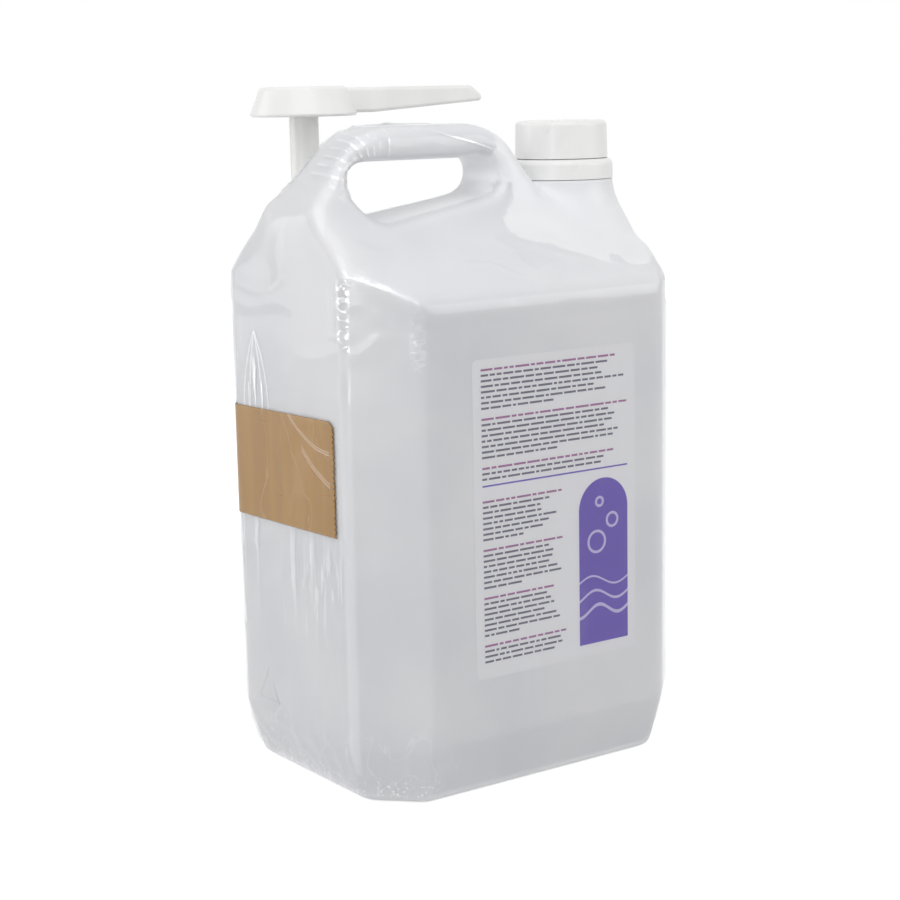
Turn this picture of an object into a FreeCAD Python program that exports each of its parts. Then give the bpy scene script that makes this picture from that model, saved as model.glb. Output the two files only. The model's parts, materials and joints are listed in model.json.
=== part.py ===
import FreeCAD, Part
import math
import os
import Sketcher

# A five-litre lotion can with a carrying handle and a screw cap, and a lotion pump that is packed
# upright behind the can under packing tape and stretch film.
# Origin at the middle of the can's base, +X towards the neck, +Y towards the pump, +Z up.

DRIVING_SIZES = (
    ("can_length", 179.0, "can, between its end panels"),
    ("can_width", 140.0, "can, between its front and back panels"),
    ("corner_cut", 25.0, "leg of the four upright corner facets"),
    ("corner_round", 7.0, "rounding of the upright edges"),
    ("wall", 1.5, "wall of the can"),
    ("base_height", 26.0, "height of the tapered foot"),
    ("base_inset", 7.5, "inset of the foot at the floor"),
    ("base_corner_loss", 5.9, "how much shorter the corner facet's leg is at the floor"),
    ("base_round", 5.0, "rounding of the edge at the floor"),
    ("shoulder_height", 218.5, "height of the shoulder line"),
    ("shoulder_round", 9.0, "rounding of the shoulder line"),
    ("roof_slope", 0.55, "rise of the roof per unit of run"),
    ("ridge_foot", 42.0, "thickness of the ridge where the roof meets it"),
    ("ridge_round", 32.0, "hollow rounding between roof and ridge"),
    ("gable_round", 9.0, "rounding of the gable edges"),
    ("hollow_rise", 24.5, "rise of the hollow under the ridge over the shoulder line"),
    ("panel_recess", 0.15, "depth of the label panels"),
    ("panel_border", 4.0, "border of the label panels"),
    ("panel_round", 10.0, "corner rounding of the label panels"),
    ("mark_side", 17.0, "side of the moulded triangle on the end panel"),
    ("mark_line", 1.6, "line width of the moulded triangle"),
    ("mark_rise", 0.25, "relief of the moulded triangle"),
    ("mark_place", 23.8, "place of the moulded triangle, towards the back"),
    ("mark_height", 31.9, "height of the moulded triangle's lower side"),
    ("grip_thick", 26.0, "thickness of the handle at its top"),
    ("handle_rise", 70.3, "rise of the handle over the shoulder line"),
    ("handle_round", 8.0, "rounding of the handle's outer edges"),
    ("post_rise", 32.0, "rise of the post's upright end over the shoulder line"),
    ("post_lean", 34.0, "run of the leaning post"),
    ("post_round", 34.0, "rounding over the post"),
    ("leg_back", 44.7, "distance of the corner over the leg from the neck's axis"),
    ("leg_round", 30.0, "rounding over the leg"),
    ("leg_run", 30.5, "run of the leaning leg"),
    ("leg_drop", 46.0, "drop of the leaning leg"),
    ("valley_round", 8.0, "hollow rounding at the foot of the leg"),
    ("valley_drop", 12.0, "drop of the ridge under the neck"),
    ("post_thick", 25.2, "post, from the end panel to the finger gap"),
    ("leg_thick", 2.8, "run from the finger gap to the corner over the leg"),
    ("grip_height", 14.4, "height of the grip over the finger gap"),
    ("gap_at_post", 16.4, "height of the finger gap at the post"),
    ("gap_at_leg", 15.9, "height of the finger gap at the leg"),
    ("gap_height", 27.3, "greatest height of the finger gap"),
    ("gap_low_run", 14.0, "run from the post to the lowest point of the finger gap"),
    ("hole_round", 7.0, "corner rounding of the finger gap at the leg"),
    ("hole_post_round", 10.0, "corner rounding of the finger gap at the post"),
    ("rim_round", 3.0, "rounding of the finger gap's rims"),
    ("hip_slope", 1.6, "rise per unit of run of the corner facets at the neck end"),
    ("neck_inset", 25.3, "distance of the neck's axis from the end panel"),
    ("neck_foot_radius", 24.0, "radius of the neck's foot"),
    ("neck_rise", 43.6, "rise of the neck's foot over the shoulder line"),
    ("neck_radius", 18.6, "radius of the neck between its threads"),
    ("neck_bore", 16.0, "radius of the mouth"),
    ("neck_depth", 32.0, "depth of the straight mouth under the neck's foot"),
    ("neck_height", 23.4, "height of the neck over its foot"),
    ("flare_round", 22.0, "hollow rounding of the neck's flare"),
    ("flare_drop", 6.5, "drop from the neck's foot to the flare's corner"),
    ("flare_run", 24.0, "run of the flare below its corner"),
    ("flare_slope", 1.6, "rise of the flare per unit of run"),
    ("bead_reach", 1.8, "reach of the bead that holds the tamper band"),
    ("bead_low", 3.9, "height of the bead over the neck's foot"),
    ("bead_thick", 2.2, "thickness of the bead"),
    ("thread_pitch", 4.0, "pitch of the neck's thread"),
    ("thread_ridge", 1.1, "radius of a thread ridge"),
    ("thread_room", 0.3, "room between a ridge and the wall that faces it"),
    ("thread_turns", 1.6, "turns of each thread"),
    ("thread_lead", 9.4, "drop from the mouth to the start of the neck's thread"),
    ("cap_wall", 1.65, "wall of the cap at its lower edge"),
    ("cap_draft", 0.45, "draw-in of the cap towards its top"),
    ("cap_roof", 2.0, "thickness of the cap's top"),
    ("cap_round", 2.4, "rounding of the cap's upper edge"),
    ("liner_thick", 1.5, "thickness of the cap's sealing disc"),
    ("part_gap", 0.3, "gap between pieces that move past each other"),
    ("seal_gap", 0.05, "gap of the sealing disc and other flat seats"),
    ("band_radius", 24.1, "radius of the tamper band"),
    ("band_height", 9.2, "height of the tamper band"),
    ("band_wall", 3.1, "wall of the tamper band"),
    ("band_round", 3.0, "rounding of the band's upper edge"),
    ("band_lip", 1.7, "reach of the band's inner lip"),
    ("band_lip_thick", 2.0, "thickness of the band's inner lip"),
    ("label_width", 89.5, "label, along the can"),
    ("label_drop", 17.0, "label, drop of its upper edge under the panel's edge"),
    ("label_place", 4.2, "place of the label's middle, towards the neck"),
    ("label_lift", 23.0, "label, rise of its lower edge over the panel's edge"),
    ("label_round", 3.0, "corner rounding of the label"),
    ("label_thick", 0.2, "thickness of the label"),
    ("pump_place", -24.5, "place of the pump's axis along the can"),
    ("pump_gap", 0.4, "gap between the pump's cylinder and the back panel"),
    ("collar_rest", 5.5, "rise of the pump's collar over the shoulder line"),
    ("head_thick", 14.0, "thickness of the head's pad"),
    ("head_radius", 26.0, "radius of the pad at its lower edge"),
    ("head_top_radius", 20.5, "radius of the pad's top"),
    ("head_round", 3.0, "rounding of the pad's upper edge"),
    ("head_edge_round", 1.2, "rounding of the pad's lower edge"),
    ("head_skin", 3.5, "wall round the hollow under the pad"),
    ("head_hollow", 5.5, "depth of the hollow under the pad"),
    ("head_boss", 2.5, "wall of the boss that takes the stem"),
    ("socket_depth", 8.0, "depth of the boss's socket"),
    ("spout_length", 105.5, "spout, from the pump's axis to the corner of its tip"),
    ("spout_tip_round", 2.0, "rounding of the spout's tip"),
    ("spout_nose", 10.5, "length of the slanted nose"),
    ("spout_level", 36.0, "length of the level underside, from the axis"),
    ("spout_step", 0.8, "drop of the spout's top under the pad's top"),
    ("spout_tip_thick", 7.5, "thickness of the spout at its tip"),
    ("spout_width", 18.0, "width of the spout at the pad"),
    ("spout_tip_width", 11.0, "width of the spout at its tip"),
    ("spout_round", 1.7, "rounding of the spout's edges"),
    ("spout_bore", 2.4, "radius of the spout's channel"),
    ("spout_bore_drop", 4.6, "drop from the pad's top to the channel's axis"),
    ("stem_radius", 7.0, "radius of the stem"),
    ("stem_bore", 3.2, "radius of the stem's channel"),
    ("stroke", 46.0, "travel of the plunger"),
    ("stroke_room", 3.0, "room left under the pressed head"),
    ("running_fit", 0.06, "radial room of the sliding fits"),
    ("press_fit", 0.02, "radial room of the pressed fits"),
    ("boss_height", 2.0, "height of the guide's boss over the collar"),
    ("boss_wall", 4.4, "wall of the guide's boss"),
    ("guide_flange", 2.0, "thickness of the guide's flange"),
    ("guide_plug", 6.0, "depth of the guide's plug in the cylinder"),
    ("collar_height", 18.0, "height of the pump's collar"),
    ("collar_roof", 3.7, "thickness of the collar's top"),
    ("collar_wall", 2.5, "wall of the collar"),
    ("collar_rib", 0.5, "radius of the collar's grip ribs"),
    ("collar_ribs", 40, "number of the collar's grip ribs"),
    ("collar_rib_border", 1.5, "plain border over and under the grip ribs"),
    ("cylinder_radius", 14.5, "radius of the pump's cylinder"),
    ("cylinder_wall", 1.3, "wall of the pump's cylinder"),
    ("cylinder_depth", 86.0, "depth of the bore under the cylinder's flange"),
    ("flange_radius", 18.6, "radius of the cylinder's flange"),
    ("flange_thick", 2.0, "thickness of the cylinder's flange"),
    ("gasket_thick", 1.5, "thickness of the gasket under the flange"),
    ("floor_thick", 2.0, "thickness of the cylinder's floor"),
    ("cone_height", 7.0, "height of the cone between cylinder and tail"),
    ("tail_radius", 7.5, "radius of the tail"),
    ("tail_length", 32.0, "length of the tail under the cylinder's floor"),
    ("tube_radius", 5.0, "radius of the dip tube"),
    ("tube_wall", 1.5, "wall of the dip tube"),
    ("tube_socket", 16.0, "length of the dip tube inside the tail"),
    ("tube_lift", 0.6, "height of the dip tube's foot over the floor"),
    ("ball_radius", 4.0, "radius of both valve balls"),
    ("ball_room", 0.6, "radial room round a ball in its chamber"),
    ("ball_rest_gap", 0.03, "gap between a ball and its seat"),
    ("inlet_lift", 3.0, "lift of the inlet ball"),
    ("outlet_lift", 2.5, "lift of the outlet ball"),
    ("valve_bore", 2.8, "radius of the channel under a valve seat"),
    ("seat_drop", 2.2, "depth of a conical valve seat"),
    ("chamber_depth", 13.0, "depth of the inlet chamber under the bore"),
    ("cage_flange", 2.0, "thickness of the cage's flange"),
    ("cage_hole", 2.4, "radius of the cage's middle hole"),
    ("cage_slot", 1.6, "radius of the cage's flow holes"),
    ("cage_slots", 6, "number of the cage's flow holes"),
    ("cage_slot_place", 8.0, "distance of the flow holes from the axis"),
    ("piston_length", 13.7, "length of the piston's skirt"),
    ("piston_wall", 2.2, "wall of the piston's skirt"),
    ("piston_web", 2.6, "thickness of the piston's web"),
    ("hub_radius", 5.6, "radius of the piston's hub"),
    ("ring_width", 2.5, "width of the sealing ring"),
    ("ring_depth", 1.2, "depth of the sealing ring's groove"),
    ("ring_place", 5.5, "height of the groove over the piston's lower edge"),
    ("wire_radius", 0.7, "radius of the spring wire"),
    ("coil_radius", 9.6, "radius of the spring, to the middle of its wire"),
    ("coil_turns", 9, "turns of the spring"),
    ("coil_close_gap", 0.55, "gap between the closed turns at each end"),
    ("film_gap", 0.4, "gap between can and film"),
    ("film_thick", 0.25, "thickness of the wound film"),
    ("film_border", 8.0, "film, drop of its upper edge under the shoulder"),
    ("wrap_left", 6.0, "wrap, from the pump's axis to the corner at its left"),
    ("wrap_right", 2.6, "wrap, from the pump's axis to the corner at its right"),
    ("wrap_round", 13.5, "wrap, rounding over the pump"),
    ("tape_gap", 0.15, "gap between film and tape"),
    ("tape_thick", 0.2, "thickness of the tape"),
    ("tape_width", 50.0, "width of the tape"),
    ("tape_low", 116.0, "height of the tape's lower edge"),
    ("tape_start", -38.3, "place of the tape's end on the post's end panel"),
    ("tape_stop", 8.0, "place of the tape's end on the neck's end panel"),
    ("overshoot", 8.0, "how far a cut runs past the piece"),
)

ROOT_TWO = math.sqrt(2)
UP = FreeCAD.Vector(0, 0, 1)


class Size:
    """A number together with the sheet expression that gives it"""

    def __init__(self, value, text):
        self.value = float(value)
        self.text = text

    def joined(self, sign, other, value):
        return Size(value, "(%s %s %s)" % (self.text, sign, other.text))

    def __add__(self, other):
        other = as_size(other)
        return self.joined("+", other, self.value + other.value)

    def __sub__(self, other):
        other = as_size(other)
        return self.joined("-", other, self.value - other.value)

    def __mul__(self, other):
        other = as_size(other)
        return self.joined("*", other, self.value * other.value)

    def __truediv__(self, other):
        other = as_size(other)
        return self.joined("/", other, self.value / other.value)

    def __neg__(self):
        return Size(-self.value, "(0 - %s)" % self.text)

    def __radd__(self, other):
        return as_size(other) + self

    def __rsub__(self, other):
        return as_size(other) - self

    def __rmul__(self, other):
        return as_size(other) * self


def as_size(item):
    return item if isinstance(item, Size) else Size(item, "%.6f" % item)


def root(item):
    return Size(math.sqrt(item.value), "sqrt(%s)" % item.text)


doc = FreeCAD.newDocument("lotion_can")
sheet = doc.addObject("Spreadsheet::Sheet", "sizes")
size = {}
for row, (alias, number, note) in enumerate(DRIVING_SIZES, 1):
    sheet.set("A%d" % row, note)
    sheet.set("B%d" % row, str(number))
    sheet.setAlias("B%d" % row, alias)
doc.recompute()
for alias, number, note in DRIVING_SIZES:
    size[alias] = Size(sheet.get(alias), "sizes." + alias)

nodes = []


def keep(item, label):
    item.Label = label
    nodes.append(item)
    return item


def new_body(name):
    return doc.addObject("PartDesign::Body", name)


def origin_of(body, role):
    return next(item for item in body.Origin.OriginFeatures if item.Role == role)


def place(item, x=0, y=0, z=0):
    for letter, value in (("x", x), ("y", y), ("z", z)):
        item.setExpression("Placement.Base." + letter, as_size(value).text)
    return item


def outline_pieces(corners):
    """Lines and corner arcs of a closed outline, from corners (x, y) or (x, y, rounding)"""
    count = len(corners)
    points = []
    rounds = []
    for corner in corners:
        points.append(FreeCAD.Vector(as_size(corner[0]).value, as_size(corner[1]).value, 0))
        rounds.append(as_size(corner[2]).value if len(corner) > 2 else 0.0)
    arrive = []
    leave = []
    arcs = {}
    for i, point in enumerate(points):
        into = (point - points[i - 1]).normalize()
        out = (points[(i + 1) % count] - point).normalize()
        turn = math.atan2(into.x * out.y - into.y * out.x, into.dot(out))
        back = rounds[i] * math.tan(abs(turn) / 2)
        arrive.append(point - into * back)
        leave.append(point + out * back)
        if rounds[i]:
            left = turn > 0
            side = 1 if left else -1
            centre = arrive[i] + FreeCAD.Vector(-into.y, into.x, 0) * rounds[i] * side
            ends = (arrive[i], leave[i]) if left else (leave[i], arrive[i])
            angles = [math.atan2(end.y - centre.y, end.x - centre.x) for end in ends]
            circle = Part.Circle(centre, UP, rounds[i])
            arcs[i] = (left, Part.ArcOfCircle(circle, angles[0], angles[1]))
    lines = [Part.LineSegment(leave[i], arrive[(i + 1) % count]) for i in range(count)]
    return points, lines, arcs


def pin(sketch, geometry, end, x, y):
    """Binds a sketch point's two coordinates to the sheet"""
    for kind, value, axis in (("DistanceX", as_size(x), -2), ("DistanceY", as_size(y), -1)):
        if abs(value.value) < 1e-9:
            sketch.addConstraint(Sketcher.Constraint("PointOnObject", geometry, end, axis))
            continue
        index = sketch.addConstraint(Sketcher.Constraint(kind, -1, 1, geometry, end, value.value))
        sketch.setExpression("Constraints[%d]" % index, value.text)


def bind_radius(sketch, geometry, radius):
    radius = as_size(radius)
    index = sketch.addConstraint(Sketcher.Constraint("Radius", geometry, radius.value))
    sketch.setExpression("Constraints[%d]" % index, radius.text)


def new_sketch(body, role, lift=None, shift=None, turn=0):
    sketch = body.newObject("Sketcher::SketchObject", body.Name + "_sketch")
    sketch.AttachmentSupport = [(origin_of(body, role), "")]
    sketch.MapMode = "FlatFace"
    sketch.AttachmentOffset = FreeCAD.Placement(
        FreeCAD.Vector(), FreeCAD.Rotation(FreeCAD.Vector(0, 1, 0), turn))
    if lift is not None:
        sketch.setExpression("AttachmentOffset.Base.z", as_size(lift).text)
    if shift is not None:
        sketch.setExpression("AttachmentOffset.Base.x", as_size(shift).text)
    return sketch


def draw_loop(sketch, corners):
    points, lines, arcs = outline_pieces(corners)
    first = sketch.GeometryCount
    count = len(lines)
    sketch.addGeometry(lines, False)
    for i in range(count):
        before = first + (i - 1) % count
        after = first + i
        x, y = corners[i][:2]
        if i not in arcs:
            sketch.addConstraint(Sketcher.Constraint("Coincident", before, 2, after, 1))
            pin(sketch, after, 1, x, y)
            continue
        left, arc = arcs[i]
        start, stop = (1, 2) if left else (2, 1)
        bend = sketch.addGeometry(arc, False)
        mark = sketch.addGeometry(Part.Point(points[i]), True)
        sketch.addConstraint(Sketcher.Constraint("Tangent", before, 2, bend, start))
        sketch.addConstraint(Sketcher.Constraint("Tangent", bend, stop, after, 1))
        sketch.addConstraint(Sketcher.Constraint("PointOnObject", mark, 1, before))
        sketch.addConstraint(Sketcher.Constraint("PointOnObject", mark, 1, after))
        bind_radius(sketch, bend, corners[i][2])
        pin(sketch, mark, 1, x, y)


def outline(body, role, *loops, lift=None, shift=None, turn=0):
    """A sketch of closed outlines on one of the body's origin planes"""
    sketch = new_sketch(body, role, lift, shift, turn)
    for corners in loops:
        draw_loop(sketch, corners)
    doc.recompute()
    return sketch


def circle(body, role, x, y, radius, lift=None):
    sketch = new_sketch(body, role, lift)
    centre = FreeCAD.Vector(as_size(x).value, as_size(y).value, 0)
    ring = sketch.addGeometry(Part.Circle(centre, UP, as_size(radius).value), False)
    bind_radius(sketch, ring, radius)
    pin(sketch, ring, 3, x, y)
    doc.recompute()
    return sketch


def extrude(body, kind, sketch, length, both=False, reverse=False):
    feature = body.newObject("PartDesign::" + kind, body.Name + "_" + kind.lower())
    feature.Profile = sketch
    feature.setExpression("Length", as_size(length).text)
    if both:
        feature.SideType = "Symmetric"
    feature.Reversed = reverse
    doc.recompute()
    return feature


def revolve(body, kind, sketch):
    feature = body.newObject("PartDesign::" + kind, body.Name + "_" + kind.lower())
    feature.Profile = sketch
    feature.ReferenceAxis = (sketch, ["V_Axis"])
    feature.Angle = 360
    doc.recompute()
    return feature


def repeat_round(body, feature, count):
    """Repeats a feature round the body's upright axis"""
    pattern = body.newObject("PartDesign::PolarPattern", body.Name + "_pattern")
    pattern.Originals = [feature]
    pattern.Axis = (origin_of(body, "Z_Axis"), [""])
    pattern.Angle = 360
    pattern.Occurrences = round(count.value)
    body.Tip = pattern
    doc.recompute()


def round_edges(body, base, radius, wanted):
    """Rounds the edges of a feature whose middle point passes a test"""
    names = []
    for number, edge in enumerate(base.Shape.Edges, 1):
        middle = edge.valueAt((edge.FirstParameter + edge.LastParameter) / 2)
        if edge_turn(base.Shape, edge, middle) > math.radians(10) and wanted(middle):
            names.append("Edge%d" % number)
    feature = body.newObject("PartDesign::Fillet", body.Name + "_fillet")
    feature.Base = (base, names)
    feature.setExpression("Radius", as_size(radius).text)
    doc.recompute()
    return feature


def edge_turn(shape, edge, point):
    """Angle between the two faces that meet at an edge"""
    faces = shape.ancestorsOfType(edge, Part.Face)
    if len(faces) < 2:
        return 0.0
    normals = []
    for face in faces:
        across, along = face.Surface.parameter(point)
        normals.append(face.normalAt(across, along))
    return normals[0].getAngle(normals[1])


def turned(name, corners, *grooves):
    """A body turned about its own upright axis"""
    body = new_body(name)
    revolve(body, "Revolution", outline(body, "XZ_Plane", corners))
    for groove in grooves:
        revolve(body, "Groove", outline(body, "XZ_Plane", groove))
    return body


def joined(kind, name, first, second):
    result = doc.addObject("Part::" + kind, name)
    result.Base = first
    result.Tool = second
    doc.recompute()
    return result


def arc_from(start, heading, end):
    """The arc that leaves a point in a given direction and ends at another"""
    chord = end - start
    along = FreeCAD.Vector(chord).normalize()
    side = heading - along * heading.dot(along)
    swing = heading.getAngle(along)
    rise = chord.Length / 2 * math.tan(swing / 2)
    middle = start + chord * 0.5 + side.normalize() * rise
    return Part.Arc(start, middle, end).toShape()


def biarc(start, leaving, end, arriving):
    """Two tangent arcs between two points with given directions"""
    chord = end - start
    both = leaving + arriving
    spread = 2 * (1 - leaving.dot(arriving))
    reach = (-chord.dot(both) + math.sqrt(chord.dot(both) ** 2 + spread * chord.dot(chord))) / spread
    meet = (start + end + (leaving - arriving) * reach) * 0.5
    return [arc_from(start, leaving, meet), arc_from(end, -arriving, meet)]


def coil_points(radius, heights):
    """Points and directions at each quarter turn of a coil, from its heights there"""
    points = []
    headings = []
    step = math.pi / 2
    last = len(heights) - 1
    for i, height in enumerate(heights):
        angle = i * step
        low = max(i - 1, 0)
        high = min(i + 1, last)
        climb = (heights[high] - heights[low]) / ((high - low) * step)
        points.append(FreeCAD.Vector(radius * math.cos(angle), radius * math.sin(angle), height))
        heading = FreeCAD.Vector(-radius * math.sin(angle), radius * math.cos(angle), climb)
        headings.append(heading.normalize())
    return points, headings


def coil_tube(radius, heights, thick):
    """A round tube along a coil, as one solid"""
    points, headings = coil_points(radius, heights)
    edges = []
    for i in range(len(points) - 1):
        edges.extend(biarc(points[i], headings[i], points[i + 1], headings[i + 1]))
    path = Part.Wire(Part.__sortEdges__(edges))
    section = Part.Wire(Part.Circle(points[0], headings[0], thick).toShape())
    shell = Part.BRepOffsetAPI.MakePipeShell(path)
    shell.add(section)
    shell.build()
    shell.makeSolid()
    return shell.shape()


def coil_feature(name, radius, heights, thick, turn=0):
    feature = doc.addObject("Part::Feature", name)
    feature.Shape = coil_tube(radius, heights, thick)
    feature.Placement = FreeCAD.Placement(FreeCAD.Vector(), FreeCAD.Rotation(UP, turn))
    return feature


def thread_heights(start):
    """Heights at each quarter turn of a thread"""
    quarters = round(size["thread_turns"].value * 4)
    return [start + size["thread_pitch"].value * i / 4 for i in range(quarters + 1)]


# Places shared by several pieces
half_length = size["can_length"] / 2
half_width = size["can_width"] / 2
handle_top = size["shoulder_height"] + size["handle_rise"]
post_foot = size["shoulder_height"] + size["post_rise"]
hollow_height = size["shoulder_height"] + size["hollow_rise"]
neck_place = half_length - size["neck_inset"]
neck_foot_height = size["shoulder_height"] + size["neck_rise"]
mouth_height = neck_foot_height + size["neck_height"]
leg_corner = neck_place - size["leg_back"]
hole_front = leg_corner - size["leg_thick"]
hole_back = half_length - size["post_thick"]
hole_low_place = hole_back - size["gap_low_run"]
hole_top = handle_top - size["grip_height"]
hole_back_low = hole_top - size["gap_at_post"]
hole_front_low = hole_top - size["gap_at_leg"]
hole_low = hole_top - size["gap_height"]
panel_low = size["base_height"] + size["panel_border"]
panel_high = size["shoulder_height"] - size["shoulder_round"]
label_low = panel_low + size["label_lift"]
label_high = panel_high - size["label_drop"]
cap_bore = size["neck_radius"] + size["thread_ridge"] + size["thread_room"] + size["running_fit"]
cap_thread_radius = cap_bore + size["running_fit"]
cap_ridge = cap_bore - size["neck_radius"] - size["thread_room"]
cap_radius = cap_bore + size["cap_wall"]
band_low = neck_foot_height + size["part_gap"]
band_high = band_low + size["band_height"]
liner_low = mouth_height + size["seal_gap"] * 2
liner_high = liner_low + size["liner_thick"]
cap_low = band_high + size["part_gap"]
cap_ceiling = liner_high + size["seal_gap"]
cap_high = cap_ceiling + size["cap_roof"]
neck_thread_start = mouth_height - size["thread_lead"]
cap_thread_start = neck_thread_start - size["thread_pitch"] / 2

collar_low = size["shoulder_height"] + size["collar_rest"]
collar_high = collar_low + size["collar_height"]
boss_high = collar_high + size["boss_height"]
head_low = boss_high + size["stroke"] + size["stroke_room"]
head_high = head_low + size["head_thick"]
collar_ceiling = collar_high - size["collar_roof"]
guide_high = collar_ceiling - size["part_gap"]
cylinder_high = guide_high - size["guide_flange"]
flange_low = cylinder_high - size["flange_thick"]
bore_floor = cylinder_high - size["cylinder_depth"]
cylinder_bore = size["cylinder_radius"] - size["cylinder_wall"]
cylinder_low = bore_floor - size["floor_thick"]
tail_low = cylinder_low - size["tail_length"]
seat_high = bore_floor - size["chamber_depth"]
seat_low = seat_high - size["seat_drop"]
chamber_radius = size["ball_radius"] + size["ball_room"]
plug_low = cylinder_high - size["guide_plug"]
piston_high = plug_low - size["part_gap"]
piston_low = piston_high - size["piston_length"]
piston_radius = cylinder_bore - size["running_fit"]
hub_high = piston_high + size["part_gap"]
outlet_seat_low = hub_high - size["seat_drop"]
stem_low = piston_low + size["piston_web"] + size["part_gap"]
stem_high = head_low + size["socket_depth"]
pump_back = half_width + size["cylinder_radius"] + size["pump_gap"]
boss_radius = size["stem_radius"] + size["running_fit"] + size["boss_wall"]
cage_high = bore_floor + size["cage_flange"]


def seated_height(low, wide):
    """Height of a ball's middle over the foot of the conical seat that it rests on"""
    run = wide - size["valve_bore"]
    slant = root(run * run + size["seat_drop"] * size["seat_drop"])
    reach = size["ball_radius"] + size["ball_rest_gap"]
    return low + (reach * slant - size["valve_bore"] * size["seat_drop"]) / run


def octagon(half_x, half_y, cut, rounding):
    """Plan of the can, round from the neck's end panel"""
    corners = []
    for x, y in ((half_x, half_y - cut), (half_x - cut, half_y)):
        corners.append((x, y, rounding))
    for x, y in ((cut - half_x, half_y), (-half_x, half_y - cut)):
        corners.append((x, y, rounding))
    for x, y in ((-half_x, cut - half_y), (cut - half_x, -half_y)):
        corners.append((x, y, rounding))
    for x, y in ((half_x - cut, -half_y), (half_x, cut - half_y)):
        corners.append((x, y, rounding))
    return corners


def can_plan(name, inset):
    """The can's upright walls and tapered foot, drawn in by an inset"""
    body = new_body(name)
    facet = size["corner_cut"] - inset * (2 - ROOT_TWO)
    foot_facet = facet - size["base_corner_loss"]
    foot_inset = inset + size["base_inset"]
    wide = octagon(half_length - inset, half_width - inset, facet, size["corner_round"])
    narrow = octagon(half_length - foot_inset, half_width - foot_inset, foot_facet, size["corner_round"])
    upper = outline(body, "XY_Plane", wide, lift=size["base_height"])
    lower = outline(body, "XY_Plane", narrow, lift=inset)
    foot = body.newObject("PartDesign::AdditiveLoft", name + "_foot")
    foot.Profile = lower
    foot.Sections = [upper]
    foot.Ruled = True
    doc.recompute()
    extrude(body, "Pad", upper, handle_top + size["overshoot"] - size["base_height"])
    return body


def cut_hips(body, inset):
    """Slants the two corner facets at the neck's end"""
    reach = (half_length + half_width - size["corner_cut"] - neck_place) / ROOT_TWO - inset
    start = reach + size["overshoot"] / size["hip_slope"]
    low = size["shoulder_height"] - inset - size["overshoot"]
    high = handle_top + size["overshoot"]
    far = start + size["corner_cut"]
    near = start - (high - low) / size["hip_slope"]
    for turn in (45, -45):
        wedge = [(start, low), (far, low), (far, high), (near, high)]
        sketch = outline(body, "XZ_Plane", wedge, shift=neck_place, turn=turn)
        extrude(body, "Pocket", sketch, size["can_length"], both=True)


def can_profile():
    """The can's roof, ridge and handle, seen along the can and across it"""
    body = new_body("can_profile")
    ridge = size["ridge_foot"] / 2
    roof = size["shoulder_height"] + size["roof_slope"] * (half_width - ridge)
    grip = size["grip_thick"] / 2
    high = handle_top + size["overshoot"]
    shoulder = (half_width, size["shoulder_height"], size["shoulder_round"])
    other_shoulder = (-half_width, size["shoulder_height"], size["shoulder_round"])
    section = outline(body, "YZ_Plane", [
        (-half_width, 0), (half_width, 0), shoulder, (ridge, roof, size["ridge_round"]),
        (grip, high), (-grip, high), (-ridge, roof, size["ridge_round"]), other_shoulder])
    block = extrude(body, "Pad", section, size["can_length"], both=True)

    def on_gable(point):
        return abs(abs(point.x) - half_length.value) < 0.01 and 1 < point.z < high.value - 1

    round_edges(body, block, size["gable_round"], on_gable)
    far = half_length + size["overshoot"]
    lean = (handle_top - post_foot) / size["post_lean"]
    leg_foot = handle_top - size["leg_drop"]
    over = outline(body, "XZ_Plane", [
        (-far, post_foot - lean * size["overshoot"]),
        (size["post_lean"] - half_length, handle_top, size["post_round"]),
        (leg_corner, handle_top, size["leg_round"]),
        (leg_corner + size["leg_run"], leg_foot, size["valley_round"]),
        (far, leg_foot - size["valley_drop"]),
        (far, high + size["overshoot"]), (-far, high + size["overshoot"])])
    cut = extrude(body, "Pocket", over, size["can_width"] + size["overshoot"], both=True)
    valley = leg_foot - size["valley_drop"] - 1
    round_edges(body, cut, size["handle_round"], lambda point: point.z > valley.value)
    cut_hips(body, as_size(0))
    gap = outline(body, "XZ_Plane", [
        (-hole_back, hole_top, size["hole_post_round"]),
        (hole_front, hole_top, size["hole_round"]),
        (hole_front, hole_front_low, size["hole_round"]),
        (-hole_low_place, hole_low, size["hole_post_round"]),
        (-hole_back, hole_back_low, size["hole_post_round"])])
    hole = extrude(body, "Pocket", gap, size["can_width"] + size["overshoot"], both=True)

    def on_rim(point):
        inside = -hole_back.value - 1 < point.x < hole_front.value + 1
        return inside and hole_low.value - 1 < point.z < hole_top.value + 1

    round_edges(body, hole, size["rim_round"], on_rim)
    neck = outline(body, "XZ_Plane", neck_section(), shift=neck_place)
    revolve(body, "Revolution", neck)
    return body


def neck_section():
    """Half section of the neck, from deep inside the can up to its mouth"""
    corner = neck_foot_height - size["flare_drop"]
    reach = size["neck_foot_radius"] + size["flare_run"]
    low = corner - size["flare_slope"] * size["flare_run"]
    bead = size["neck_radius"] + size["bead_reach"]
    bead_low = neck_foot_height + size["bead_low"]
    bead_high = bead_low + size["bead_thick"]
    return [
        (0, low), (reach, low), (size["neck_foot_radius"], corner, size["flare_round"]),
        (size["neck_foot_radius"], neck_foot_height),
        (size["neck_radius"], neck_foot_height),
        (size["neck_radius"], bead_low), (bead, bead_low),
        (size["neck_radius"], bead_high + size["bead_reach"]),
        (size["neck_radius"], mouth_height), (0, mouth_height)]


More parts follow.
